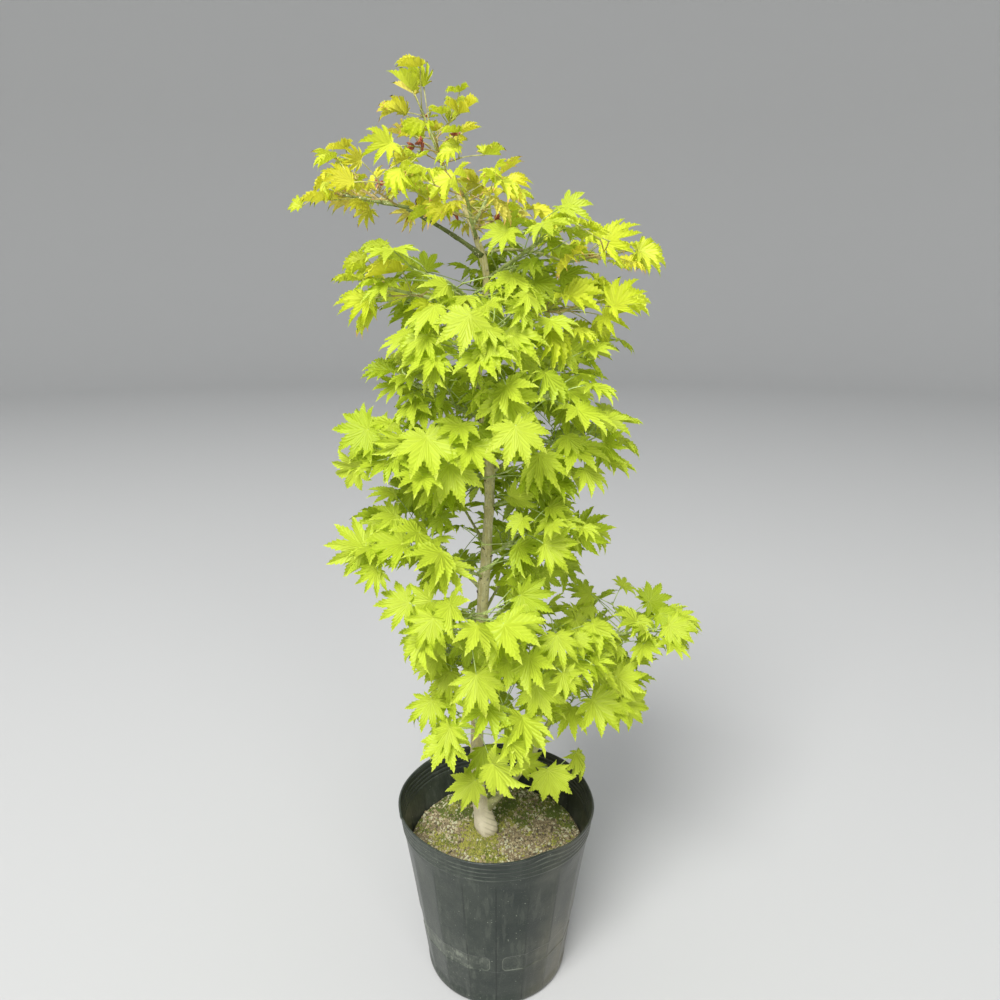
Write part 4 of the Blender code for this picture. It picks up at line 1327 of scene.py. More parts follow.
def build_pot(look):
    bm = turned(pot_profile(), POT_SEGMENTS)
    for vertex in bm.verts:
        if vertex.co.z > 2 * POT_EDGE_ROUND:
            out, up = pot_shift(vertex.co, look)
            vertex.co += Vector((vertex.co.x, vertex.co.y, 0)).normalized() * out + UP * up
    make_piece("pot_shell", bm, [pot_material(look)], ["pot"])


# Soil, grains and moss


SOIL_SKIRT = 0.03
SOIL_RINGS = 34
SOIL_SEGMENTS = 120

# Grains: their sizes, the share of pale to dark ones in two kinds of patch, and the loss under moss
TRUNK_ROOM = 0.012
GRAIN_RADIUS = (0.0005, 0.0022)
PALE_PATCH = (0.40, 0.30, 0.18, 0.12)
DARK_PATCH = (0.13, 0.26, 0.36, 0.25)
GRAINS_UNDER_MOSS = 0.42

# Tufts of moss
TUFT_ROOM = 0.009
TUFT_HEIGHT = (0.0014, 0.0034)
TUFT_RADIUS = (0.0007, 0.0013)


def mound_height(x, y):
    """The height of the soil at a place, with its lumps."""
    out = hypot(x, y) / POT_TOP_RADIUS
    down = smooth_between([(0.0, 0.0), *MOUND_FORM], min(out, MOUND_FORM[-1][0]))
    lumps = noise.noise(Vector((x, y, 0)) * 60) * 0.0022 + noise.noise(Vector((x, y, 3)) * 220) * 0.0008
    return SOIL_LEVEL - GAP - down * (SOIL_LEVEL - SOIL_EDGE) + lumps * smooth_step(0.12, 0.4, out)


def soil_reach():
    """The soil's radius where it meets the pot's wall."""
    return pot_inner_radius(SOIL_EDGE) - 2 * GAP


def build_soil(look):
    """The soil's mound, down to a flat underside inside the pot."""
    floor = SOIL_EDGE - SOIL_SKIRT
    profile = [(soil_reach() * i / SOIL_RINGS, SOIL_LEVEL) for i in range(SOIL_RINGS + 1)]
    profile += [(pot_inner_radius(floor) - GAP, floor), (0, floor)]
    bm = turned(profile, SOIL_SEGMENTS)
    layer = bm.verts.layers.float.new(MOSS_LAYER)
    for vertex in bm.verts:
        x, y, z = vertex.co
        if z > SOIL_LEVEL - GAP:
            vertex.co.z = mound_height(x, y)
        vertex[layer] = moss_share(x, y)
    colour = soil_material("moist_soil", look.soil, mossy=shade(look.moss_dark, 1.1))
    make_piece("soil_mound", bm, [colour], ["soil"])


def moss_share(x, y):
    """How mossy the soil is at a place, from 0 to 1: most round the trunk and behind it."""
    trunk = trunk_centre(SOIL_LEVEL)
    away = hypot(x - trunk.x, y - trunk.y)
    patchy = noise.noise(Vector((x, y, 7)) * 34) + 0.5 * noise.noise(Vector((x, y, 9)) * 90)
    speckled = 0.75 * noise.noise(Vector((x, y, 13)) * 260)
    near = bump(away, 0.034) * 0.75
    behind = 0.55 * smooth_step(0.0, 0.045, y)
    front = 0.42 * bump(hypot(x + 0.036, y + 0.040), 0.036)
    return smooth_step(0.20, 0.85, near + behind + front + 0.60 * patchy + speckled)


def scattered(count, reach, rng):
    """Places spread evenly over a round bed."""
    for _ in range(count):
        out = reach * sqrt(rng.random())
        angle = rng.uniform(0, tau)
        yield out * cos(angle), out * sin(angle)


def clear_of_trunk(x, y, room):
    trunk = trunk_centre(SOIL_LEVEL)
    return hypot(x - trunk.x, y - trunk.y) > room


def build_grains(look):
    """Loose mineral grains all over the mound."""
    rng = random.Random(31)
    colours = [look.grain_pale, look.grain_tan, look.grain_brown, look.grain_dark]
    materials = [soil_material(f"grain_{i}", colour) for i, colour in enumerate(colours)]
    low, high = GRAIN_RADIUS
    piece = bmesh.new()
    for x, y in scattered(look.grain_count, soil_reach() - 0.001, rng):
        size = low + (high - low) * rng.random() ** 3
        patch = noise.noise(Vector((x, y, 11)) * 45) + rng.uniform(-0.25, 0.25)
        weights = PALE_PATCH if patch > 0.2 * smooth_step(0.0, 0.05, x) - 0.05 else DARK_PATCH
        if not clear_of_trunk(x, y, TRUNK_ROOM):
            continue
        sink = rng.uniform(-0.6, 0.45) * size
        if rng.random() < GRAINS_UNDER_MOSS * moss_share(x, y):
            continue
        turn = any_turn(rng)
        squash = Matrix.Diagonal((*(rng.uniform(0.5, 1.2) for _ in range(3)), 1))
        place = Matrix.Translation((x, y, mound_height(x, y) + sink)) @ turn @ squash
        bm = bmesh.new()
        bmesh.ops.create_icosphere(bm, subdivisions=1, radius=size, matrix=place)
        append(piece, bm, rng.choices(range(4), weights)[0])
    make_piece("soil_grains", piece, materials).data.shade_flat()


def build_moss(look):
    """Low tufts of moss in patches."""
    rng = random.Random(57)
    kinds = ("moss_light", "moss_olive", "moss_dark")
    materials = [soil_material(kind, getattr(look, kind)) for kind in kinds]
    piece = bmesh.new()
    for x, y in scattered(look.tuft_count, soil_reach() - 0.002, rng):
        if rng.random() > moss_share(x, y) or not clear_of_trunk(x, y, TUFT_ROOM):
            continue
        height = rng.uniform(*TUFT_HEIGHT)
        lean = Euler((rng.uniform(-0.5, 0.5), rng.uniform(-0.5, 0.5), rng.uniform(0, tau)))
        foot = Vector((x, y, mound_height(x, y) + 0.35 * height))
        place = Matrix.Translation(foot) @ lean.to_matrix().to_4x4()
        wide = rng.uniform(*TUFT_RADIUS)
        bm = bmesh.new()
        bmesh.ops.create_cone(
            bm, cap_ends=True, segments=4, radius1=wide, radius2=0.0001, depth=height, matrix=place
        )
        darker = noise.noise(Vector((x, y, 5)) * 50) + 0.9 * smooth_step(-0.01, 0.03, y)
        darker += rng.uniform(-0.4, 0.4)
        append(piece, bm, 0 if darker < 0.1 else 1 if darker < 0.6 else 2)
    make_piece("moss", piece, materials).data.shade_flat()


# Trunk and boughs


TRUNK_RING_STEP = 0.0026
FOOT_RING_STEP = 0.0010
TRUNK_SEGMENTS = 36
TRUNK_SUNK = 0.006
BOUGH_RINGS = 26
BOUGH_SEGMENTS = 14
BOUGH_SLIM = 0.74
STOUT_BOUGHS = ("bough_foot_right", "bough_upper_left")

# Swellings of the bark: knots under boughs and stems, and rings where a year's growth began
COMMON_BUTT = 0.0024
STEM_KNOT = 0.8
KNOT_HEIGHT = 0.0085
KNOT_WIDTH = 55
KNOT_RISE = 0.0013
RING_SCARS = (0.020, 0.046)
SCAR_WIDTH = 0.0012
SCAR_RISE = 0.00042

# Grain of the bark as (rise, scale across, scale upwards), and the rise of the folds at its foot
BARK_GRAIN = ((0.00030, 260, 26), (0.00016, 900, 160))
FOLD_RISE = 0.00030

# Root flare: how high its lobes run and how far they stand out, and the collar above the soil
LOBED_HEIGHT = 0.016
LOBE_RISE = 0.0009
COLLAR_AT = 0.168
COLLAR_RISE = 0.0012
FOOT_DRAWN_IN = 0.0034


def trunk_knots():
    """(height, compass, size) of the swellings where boughs and shoots leave the trunk."""
    limbs = [limb for limb in LIMBS if limb.parent == "trunk"]
    knots = [(limb.station, limb.compass, limb.butt / COMMON_BUTT) for limb in limbs]
    return knots + [(row.height, row.compass, STEM_KNOT) for row in MASSES if row.height]


def ring_scars():
    """Heights of the rings where each year's growth began."""
    rng = random.Random(5)
    heights, z = [], 0.19
    while z < TRUNK_COURSE[-1][0]:
        heights.append(z)
        z += rng.uniform(*RING_SCARS)
    return heights


def build_trunk(look):
    """The trunk's bark, with its flare, ring scars, furrows and swollen knots."""
    foot, top = TRUNK_COURSE[0][0], TRUNK_COURSE[-1][0]
    path = [(trunk_centre(foot) - UP * TRUNK_SUNK, trunk_radius(foot) * 1.1)]
    z = foot
    while z < top:
        path.append((trunk_centre(z), trunk_radius(z)))
        z += FOOT_RING_STEP if z < foot + FOLDED_HEIGHT else TRUNK_RING_STEP
    path.append((trunk_centre(top), trunk_radius(top)))
    bm = tube(path, TRUNK_SEGMENTS)
    knots, scars = trunk_knots(), ring_scars()
    for vertex in bm.verts:
        out = (vertex.co - trunk_centre(max(vertex.co.z, foot))).xy.to_3d()
        if out.length > 1e-5:
            vertex.co += out.normalized() * bark_rise(vertex.co, out, knots, scars) * look.relief
    make_piece("trunk_bark", bm, [bark_material(look)], ["trunk"])


def bark_rise(place, out, knots, scars):
    """How far the trunk's bark stands out at a place, which lies out from the trunk's middle."""
    foot = TRUNK_COURSE[0][0]
    x, y, z = place
    angle = degrees(atan2(out.y, out.x))
    rise = 0.0
    for height, compass, size in knots:
        if abs(z - height) < 0.03:
            near = bump(z - height, KNOT_HEIGHT) * bump(compass_off(angle, compass), KNOT_WIDTH)
            rise += KNOT_RISE * size * near
    rise += sum(SCAR_RISE * bump(z - scar, SCAR_WIDTH) for scar in scars)
    for most, across, upwards in BARK_GRAIN:
        rise += most * noise.noise(Vector((out.x * across, out.y * across, z * upwards)))
    sway = FOLD_SWAY * sin(FOLD_TURN * (y - x))
    fold = sin((z + FOLD_SLOPE * x + sway) * tau / FOLD_PITCH)
    folded = 1 - smooth_step(foot + FOLDED_FROM, foot + FOLDED_HEIGHT, z)
    folded *= smooth_step(-0.6, 0.5, out.x / out.length)
    rise += FOLD_RISE * fold * folded * (1 + noise.noise(place * 260))
    lobes = cos(radians(4 * angle) + 0.9) + 0.5 * cos(radians(7 * angle))
    rise += exp(-max(z - foot, 0) / LOBED_HEIGHT) * LOBE_RISE * lobes
    drawn_in = 1 - smooth_step(foot - 0.004, foot + 0.009, z)
    return rise + COLLAR_RISE * bump(z - COLLAR_AT, 0.009) - FOOT_DRAWN_IN * drawn_in


def rough_knot(piece, centre, size, rng):
    """A cluster of small dark bud lumps round a knot."""
    for _ in range(7):
        way = strayed(rng, 1)
        turn = any_turn(rng)
        form = Matrix.Diagonal((1, rng.uniform(0.5, 0.9), rng.uniform(0.5, 0.9), 1))
        place = Matrix.Translation(centre + way * size) @ turn @ form
        radius = size * rng.uniform(0.45, 0.75)
        bm = bmesh.new()
        bmesh.ops.create_icosphere(bm, subdivisions=2, radius=radius, matrix=place)
        append(piece, bm)


def build_knots(look):
    """Dark lumpy clusters of old buds where shoots leave the trunk."""
    rng = random.Random(77)
    piece = bmesh.new()
    for height, compass, size in trunk_knots():
        centre = trunk_centre(height)
        out = centre + heading(compass) * trunk_radius(height)
        rough_knot(piece, out + heading(compass) * 0.0008, 0.0015 * size, rng)
        if rng.random() < 0.6:
            turned_away = compass + rng.choice((-70, 70, 110))
            out = centre + heading(turned_away) * trunk_radius(height)
            rough_knot(piece, out, 0.0012 * size, rng)
    make_piece("bark_knots", piece, [soil_material("old_bud_clusters", look.knot)])


def build_boughs(look):
    """Each bough's bark, from inside its parent to its tip, with a collar and nodes."""
    materials = [
        young_bark_material("bough_bark", look.bough, look.fleck),
        young_bark_material("dark_bough_bark", look.dark_bough, look.fleck),
    ]
    piece = bmesh.new()
    rng = random.Random(15)
    for limb in LIMBS:
        parent = courses()[limb.parent]
        centre = station_on(limb.parent, parent, limb.station)[0]
        run = limb_path(limb, parent, BOUGH_RINGS)
        nodes = [rng.uniform(0.3, 0.4), rng.uniform(0.66, 0.78)]
        slim = 1.0 if limb.name in STOUT_BOUGHS else BOUGH_SLIM
        foot = limb.butt * 1.5 * slim
        path = [(centre, foot), (centre.lerp(run[0][0], 0.6), foot)]
        for i, (point, radius) in enumerate(run):
            share = i / BOUGH_RINGS
            collar = 0.4 * exp(-share / 0.05) - 0.1
            swell = sum(0.22 * bump(share - node, 0.035) for node in nodes)
            path.append((point, radius * slim * (1 + collar + swell)))
        bm = tube(path, BOUGH_SEGMENTS)
        for vertex in bm.verts:
            rough = noise.noise(vertex.co * 420) * 0.00022 + noise.noise(vertex.co * 1100) * 0.0001
            vertex.co += vertex.normal * rough * look.relief
        append(piece, bm, int(limb.name == "bough_upper_left"))
    make_piece("boughs", piece, materials, [limb.name for limb in LIMBS])


# Twigs and leaf stalks


# Radii at both ends of stems, shoots and finer twigs, and along a leaf's stalk
TWIG_RADII = ((0.0017, 0.0011), (0.0011, 0.0008), (0.0007, 0.0006))
STALK_RADII = (0.00085, 0.00045, 0.00045, 0.00045, 0.00045, 0.00062)
STALK_SIDES = 5
STALK_SAG = 0.09


def twig_path(spray, butt, tip, rng):
    """(centre, radius) along a shoot, swollen at its nodes, rooted a little way back."""
    start, end = spray.twig.start, spray.twig.end
    along = end - start
    root = start - along.normalized() * (0.006 if spray.order == 0 else 0.0)
    nodes = sorted({round((leaf.node - start).length / along.length, 4) for leaf in spray.leaves})
    side = along.cross(UP).normalized()
    steps = 10 if spray.order < 2 else 5
    path = [(root, butt)] if spray.order == 0 else []
    for i in range(steps + 1):
        share = i / steps
        swell = sum(0.38 * bump(share - node, 0.06) for node in nodes)
        sway = sin(share * tau) * rng.uniform(0.2, 0.6) * tip
        radius = (butt + (tip - butt) * share) * (1 + swell)
        path.append((start + along * share + side * sway, radius))
    return path


def build_twigs(look):
    """Every shoot of the crown, thinner with each branching."""
    materials = [
        young_bark_material("shoot_bark", look.shoot, look.fleck),
        young_bark_material("rosy_shoot_bark", look.rosy_shoot, look.fleck),
        young_bark_material("dark_shoot_bark", shade(look.dark_bough, 1.5), look.fleck),
    ]
    piece = bmesh.new()
    rng = random.Random(23)
    for spray in every_spray():
        if spray.order and not spray.leaves:
            continue
        path = twig_path(spray, *TWIG_RADII[spray.order], rng)
        rosy = mass_colour(spray.row) == "gold" and spray.order > 0
        kind = 2 if spray.row.name == "leaves_upper_left" and not spray.order else int(rosy)
        append(piece, tube(path, 7 if spray.order < 2 else 5), kind)
    make_piece("twigs", piece, materials)


def stalk_path(leaf, rng):
    """(centre, radius) along a leaf's stalk, which arches up and then runs out under the blade."""
    run = leaf.base - leaf.node
    lift = UP * rng.uniform(0.3, 1.0) * STALK_SAG * run.length
    head = leaf.base - leaf.normal * 0.0003
    points = curved(leaf.node, leaf.node + run / 2 + lift, head, len(STALK_RADII) - 1)
    return list(zip(points, STALK_RADII))


def build_stalks(look):
    """The thin pale stalks that carry the leaves."""
    materials = [
        young_bark_material("pale_stalk", look.stalk, look.stalk),
        young_bark_material("yellow_stalk", look.yellow_stalk, look.yellow_stalk),
    ]
    piece = bmesh.new()
    rng = random.Random(29)
    for spray in every_spray():
        gold = mass_colour(spray.row) == "gold"
        for leaf in spray.leaves:
            append(piece, tube(stalk_path(leaf, rng), STALK_SIDES), int(gold))
    make_piece("leaf_stalks", piece, materials)


# Leaves


LobeForm = namedtuple("LobeForm", "lobe along across out")


def lobe_sides(number):
    """(angle, length, width, near sinus, far sinus) of a lobe counted out from the middle one."""
    angle, length, width = FINE_LOBES[number]
    far = FINE_SINUSES[number]
    near = FINE_SINUSES[number - 1] if number else (-far[0], far[1])
    return angle, length, width, near, far


def margin_place(number, side, step):
    """(along, across, out) of a margin point of a lobe. side is 1 towards the far sinus."""
    angle, length, width, near, far = lobe_sides(number)
    sinus, depth = far if side > 0 else near
    turn = radians(sinus - angle)
    foot = depth * cos(turn)
    edge = depth * sin(abs(turn))
    out, wide = (SMALL_MARGIN if number == SMALL_LOBE else MARGIN)[step]
    if wide is None:
        return foot, side * edge, 0.0
    along = foot + (length - foot) * out
    blend = smooth_step(0, 0.4, out)
    return along, side * wide * (edge + (width - edge) * blend), out


def lobe_strip(number, mirror):
    """One lobe as a strip two faces wide, from the leaf's foot to the lobe's toothed tip."""
    small = number == SMALL_LOBE
    rows, cuts = (SMALL_ROWS, SMALL_CUTS) if small else (MIDRIB_ROWS, MARGIN_CUTS)
    count = len(rows) - 1
    bm = bmesh.new()
    names = {name: bm.verts.layers.float.new(name) for name in LobeForm._fields}
    uv = bm.loops.layers.uv.new(LEAF_MAP)
    bmesh.ops.create_grid(bm, x_segments=2, y_segments=count, size=1)
    for vertex in bm.verts:
        vertex.co.y = (vertex.co.y + 1) / 2 * count
    for row in range(count):
        edges = [e for e in bm.edges if all(abs(v.co.x) > 0.9 for v in e.verts)]
        edges = [e for e in edges if all(row - 0.01 < v.co.y < row + 1.01 for v in e.verts)]
        bmesh.ops.subdivide_edges(bm, edges=edges, cuts=cuts[row])
    for face in bm.faces:
        face.material_index = int(face.calc_center_median().y > count - 1)
        for loop in face.loops:
            loop[uv].uv = (loop.vert.co.y / count, (loop.vert.co.x + 1) / 2)
    angle, length = FINE_LOBES[number][:2]
    turn = radians(angle) * mirror
    right, ahead = sin(turn), cos(turn)
    for vertex in bm.verts:
        x, y = vertex.co.xy
        row = min(int(y + 0.001), count - 1)
        step = sum(c + 1 for c in cuts[:row]) + round((y - row) * (cuts[row] + 1))
        if y < 0.01:
            along = across = out = 0.0
        elif abs(x) < 0.5:
            out = rows[round(y)]
            foot = (margin_place(number, 1, 1)[0] + margin_place(number, -1, 1)[0]) / 2
            along = foot + (length - foot) * out if out < 1 else length
            across = 0.0
        else:
            along, across, out = margin_place(number, 1 if x > 0 else -1, step - 1)
        across *= mirror
        for name, value in LobeForm(number * mirror, along, across, out)._asdict().items():
            vertex[names[name]] = value
        vertex.co = (along * ahead - across * right, along * right + across * ahead, 0)
    for edge in bm.edges:
        edge.smooth = any(abs(v[names["across"]]) >= 1e-6 for v in edge.verts)
    return bm


@cache
def flat_leaf():
    """(bmesh, forms): a flat leaf in half spans, and where each of its vertices stands in its lobe."""
    bm = bmesh.new()
    for number in range(len(FINE_LOBES)):
        for mirror in (1,) if number == 0 else (1, -1):
            append(bm, lobe_strip(number, mirror))
    bmesh.ops.remove_doubles(bm, verts=bm.verts, dist=1e-4)
    bmesh.ops.recalc_face_normals(bm, faces=bm.faces)
    if sum(face.normal.z for face in bm.faces) < 0:
        bmesh.ops.reverse_faces(bm, faces=bm.faces)
    layers = [bm.verts.layers.float[name] for name in LobeForm._fields]
    forms = [LobeForm(*(vertex[layer] for layer in layers)) for vertex in bm.verts]
    for name in LobeForm._fields:
        bm.verts.layers.float.remove(bm.verts.layers.float[name])
    return bm, forms


# How a family's leaves are held: the ranges of their curl, the pleat of their lobes, the angle at
# which their halves shut, how far their lobes close up, and their pitch, the spread of their roll and
# yaw, and the ranges of how slim their lobes and how deep their sinuses are
Habit = namedtuple("Habit", "curl fold shut fan pitch roll yaw slim deep")
GOLD_HABIT = Habit(
    (0.10, 0.60), (0.60, 1.10), (-8, 32), (0.12, 0.42), (-58, -2), 26, 22, (0.74, 0.94), (0.02, 0.22)
)
LIME_HABIT = Habit(
    (0.02, 0.40), (0.25, 0.70), (-20, 18), (0.02, 0.30), (-54, 4), 26, 22, (0.88, 1.06), (-0.04, 0.12)
)
GREEN_HABIT = Habit(
    (0.05, 0.50), (0.25, 0.65), (-18, 12), (0.0, 0.28), (-50, 6), 22, 18, (0.88, 1.06), (0.0, 0.12)
)
HABITS = {"gold": GOLD_HABIT, "lime": LIME_HABIT, "green": GREEN_HABIT}

# Leaves low down or in front hang, small leaves stand higher up, and the topmost are unfolding
HANGING_BELOW = 0.33
HANGING_FRONT = 0.45
HANGING_PITCH = (40, 14)
HANGING_SHUT = -12
HANGING_FAN = 0.16
HANGING_PALM = 0.30
SMALLER_BETWEEN = (0.60, 0.76)
SMALLER_BY = 0.10
UNFOLDING_BETWEEN = (0.84, 0.90)
UNFOLDING_FAN = 0.08
UNFOLDING_SHUT = 30
UNFOLDING_SMALLER = 0.12
UNFOLDING_STAR = 0.24
UNFOLDING_SLIM = 0.22
UNFOLDING_PITCH = -18

# How much one lobe differs from the next, and how far a leaf may reach past the solids
LOBE_SWING = 0.07
LOBE_GROWTH = 0.05
LOBE_SAG = 0.08
TAIL_DROOP = 0.05
RUFFLE = 0.009
FREE_REACH = 0.010


def formed_leaf(leaf, family, rng):
    """A leaf in its place: its lobes are pleated along their midribs and droop at their tips."""
    habit = HABITS[family]
    ranges = habit.curl, habit.fold, habit.shut, habit.fan, habit.slim, habit.deep
    curl, fold, shut, fan, slim, deep = (rng.uniform(*limits) for limits in ranges)
    hanging = 1 - smooth_step(HANGING_BELOW - 0.06, HANGING_BELOW + 0.02, leaf.base.z)
    hanging = max(hanging, -leaf.axis.y * HANGING_FRONT)
    unfolding = smooth_step(*UNFOLDING_BETWEEN, leaf.base.z)
    shut = radians(shut + HANGING_SHUT * hanging + UNFOLDING_SHUT * unfolding)
    fan += HANGING_FAN * hanging + UNFOLDING_FAN * unfolding
    deep += UNFOLDING_STAR * unfolding - HANGING_PALM * hanging
    slim *= 1 - UNFOLDING_SLIM * unfolding
    flat, forms = flat_leaf()
    bm = flat.copy()
    half = leaf.span / 2 * (1 - SMALLER_BY * smooth_step(*SMALLER_BETWEEN, leaf.base.z))
    half *= 1 - UNFOLDING_SMALLER * unfolding
    lobes = {k: [rng.uniform(-1, 1) for _ in range(3)] for k in range(-5, 6)}
    ruffle = rng.uniform(0, tau)
    for vertex, form in zip(bm.verts, forms):
        grow, sag, swing = lobes[round(form.lobe)]
        side = form.across * (slim - 1) * smooth_step(0, 0.25, form.out)
        turn = radians(copysign(FINE_LOBES[abs(round(form.lobe))][0], form.lobe))
        place = vertex.co.xy + Vector((-sin(turn), cos(turn))) * side
        if form.across:
            place *= 1 - deep * (1 - smooth_step(0, 0.45, form.out))
        reach = place.length
        if reach < 1e-6:
            continue
        angle = atan2(place.y, place.x) * (1 - fan) + LOBE_SWING * swing * form.out
        bend = curl * reach * (1 + LOBE_GROWTH * grow * form.out)
        out = sin(bend) / curl
        z = (cos(bend) - 1) / curl + (fold + fan) * abs(form.across) + LOBE_SAG * sag * form.out**2
        z += RUFFLE * sin(ruffle + 9 * form.out + 2 * form.lobe) * smooth_step(0, 0.3, form.out)
        z -= TAIL_DROOP * smooth_step(0.72, 1, form.out)
        x, y = out * cos(angle), out * sin(angle)
        vertex.co = Vector((x, y * cos(shut), z + abs(y) * sin(shut))) * half
    low, high = (limit + more * hanging for limit, more in zip(habit.pitch, HANGING_PITCH))
    pitch = rng.uniform(low, high) + UNFOLDING_PITCH * unfolding
    turns = (rng.gauss(0, habit.roll), pitch, rng.gauss(0, habit.yaw))
    pose = Euler([radians(turn) for turn in turns]).to_matrix().to_4x4()
    bmesh.ops.transform(bm, matrix=leaf_matrix(leaf) @ pose, verts=bm.verts)
    while strays(bm):
        shrink = Matrix.Translation(leaf.base) @ Matrix.Scale(0.9, 4) @ Matrix.Translation(-leaf.base)
        bmesh.ops.transform(bm, matrix=shrink, verts=bm.verts)
    return bm


def strays(bm):
    """Whether a leaf reaches further out than the crown may."""
    return not all(in_reach(vertex.co) for vertex in bm.verts)


def in_reach(place):
    low, high = CAD_BOX
    return all(low[k] - FREE_REACH <= place[k] <= high[k] + FREE_REACH for k in (0, 1))


# Places of a leaf, in spans from its foot, by which it is kept or left out
OUTER_SHARE = 0.3
MIDDLE_SHARE = 0.2


def seen_place(point):
    """(right, height) of the upright plane through the trunk that a point covers for the camera."""
    share = -EYE.y / (point.y - EYE.y)
    place = EYE + (point - EYE) * share
    return place.x, place.z


def shown(leaf):
    """Whether a leaf is in reach, and keeps clear of the crown's openings and the bare trunk."""
    if not in_reach(leaf.base + leaf.axis * leaf.span * OUTER_SHARE):
        return False
    middle = leaf.base + leaf.axis * leaf.span * MIDDLE_SHARE
    x, z = seen_place(middle)
    if any(hypot(x - right, z - height) < radius for right, height, radius in OPENINGS):
        return False
    for foot, top, width in BARE_TRUNK:
        if foot < z < top and middle.y < 0 and abs(x - trunk_centre(z).x) < width:
            return False
    return True


# Tints of each family, from the lit to the shaded, as painted light and painted shade, and from which
# depth in the crown each is used
TINTS = {
    "gold": ("gold", "gold_lime", "gold_rosy"),
    "lime": ("lime_light", "lime", "lime_deep"),
    "green": ("lime", "lime_deep", "green", "green_deep"),
}
TINT_DEPTHS = {"lime": (0.25, 0.62), "green": (0.48, 0.74, 0.98)}
DEPTH_SCATTER = 0.3
FINE_LIFTED = 0.2

# Shares of the gold tints and of rosy tips, at the top and in the gold masses lower down
TOP_GOLD = (0.44, 0.52, 0.04)
LOWER_GOLD = (0.06, 0.94, 0.0)
ROSY_SHARE = 0.5
LOWER_ROSY_SHARE = 0.10


def leaf_depth(leaf):
    """How far a leaf is in the shade, from 0 in front and on top to about 1 inside the crown."""
    trunk = trunk_centre(min(max(leaf.base.z, TRUNK_COURSE[0][0]), TRUNK_COURSE[-1][0]))
    inner = 1 - smooth_step(0.03, 0.10, (leaf.base - trunk).xy.length)
    behind = smooth_step(0.0, 0.06, leaf.base.y)
    return 0.55 * inner + 0.55 * behind


def tint_of(spray, leaf, family, rng):
    """The number of a leaf's tint among its family's tints."""
    if family == "gold":
        return rng.choices((0, 1, 2), LOWER_GOLD if spray.row.name in OTHER_FAMILIES else TOP_GOLD)[0]
    depth = leaf_depth(leaf) + rng.uniform(-DEPTH_SCATTER, DEPTH_SCATTER)
    if spray.order == 2:
        depth -= FINE_LIFTED
    return sum(depth > limit for limit in TINT_DEPTHS[family])


def build_leaves(look):
    """All leaves, in one piece for each family of colours."""
    colours = {name: getattr(look, name) for names in TINTS.values() for name in names}
    leaf_looks = {name: leaf_material("leaf_" + name, colour, look) for name, colour in colours.items()}
    pale = leaf_material("leaf_tip_pale", look.tip_pale, look)
    rosy = leaf_material("leaf_tip_rosy", look.tip_rosy, look)
    rng = random.Random(41)
    for family, names in TINTS.items():
        rows = [row for row in MASSES if mass_colour(row) == family]
        piece = bmesh.new()
        for row in rows:
            blush = LOWER_ROSY_SHARE if row.name in OTHER_FAMILIES else ROSY_SHARE
            for spray in crown()[row.name]:
                for leaf in spray.leaves:
                    bm = formed_leaf(leaf, family, rng)
                    tint = tint_of(spray, leaf, family, rng)
                    tip = len(names) + int(family == "gold" and rng.random() < blush)
                    for face in bm.faces:
                        face.material_index = tip if face.material_index else tint
                    append(piece, bm)
        materials = [*(leaf_looks[name] for name in names), pale, rosy]
        make_piece("leaves_" + family, piece, materials, [row.name for row in rows])


# Buds


# Dull closed buds
BUD_COUNT = 2
BUD_LENGTH = (0.0025, 0.0046)
BUD_SPREAD = 0.5
BUD_SLIM = 0.28
BUD_POINTED = 0.55
BARE_TIPS = 0.5

# Open red scales at the nodes of the top shoots
SCALY_SHARE = 0.20
SCALE_COUNT = 6
SCALE_LENGTH = (0.0040, 0.0085)
SCALE_SPREAD = 1.1


def bud(centre, way, length, radius):
    """A pointed bud scale."""
    bm = bmesh.new()
    turn = way.to_track_quat("Z", "Y").to_matrix().to_4x4()
    bmesh.ops.create_uvsphere(bm, u_segments=6, v_segments=5, radius=1)
    for vertex in bm.verts:
        share = (vertex.co.z + 1) / 2
        vertex.co.xy *= radius * (1 - BUD_POINTED * share)
        vertex.co.z = share * length
    bmesh.ops.transform(bm, matrix=Matrix.Translation(centre) @ turn, verts=bm.verts)
    return bm


def build_buds(look):
    """Small red scales at the nodes of the upper shoots, and dull buds elsewhere."""
    rng = random.Random(63)
    materials = [bud_material(look.bud), young_bark_material("green_bud", look.shoot, look.fleck)]
    piece = bmesh.new()
    for spray in every_spray():
        if not spray.leaves or spray.order == 2 and rng.random() < BARE_TIPS:
            continue
        gold = mass_colour(spray.row) == "gold" and spray.row.name not in OTHER_FAMILIES
        scaly = gold and rng.random() < SCALY_SHARE
        count, spread, lengths = BUD_COUNT, BUD_SPREAD, BUD_LENGTH
        if scaly:
            count, spread, lengths = SCALE_COUNT, SCALE_SPREAD, SCALE_LENGTH
        along = (spray.twig.end - spray.twig.start).normalized()
        for _ in range(count):
            way = along + strayed(rng, spread)
            length = rng.uniform(*lengths)
            made = bud(spray.twig.end, way.normalized(), length, length * BUD_SLIM)
            append(piece, made, int(not scaly))
    make_piece("bud_scales", piece, materials)


# Settings that a user may change


def colour_setting(name, description, default):
    return FloatVectorProperty(
        name=name, description=description, default=default, size=3, min=0, max=1, subtype="COLOR"
    )


def share_setting(name, description, default):
    return FloatProperty(
        name=name, description=description, default=default, min=0, max=1, subtype="FACTOR"
    )


def number_setting(name, description, default, unit="NONE", **limits):
    return FloatProperty(name=name, description=description, default=default, min=0, unit=unit, **limits)


def count_setting(name, description, default):
    return IntProperty(name=name, description=description, default=default, min=0)


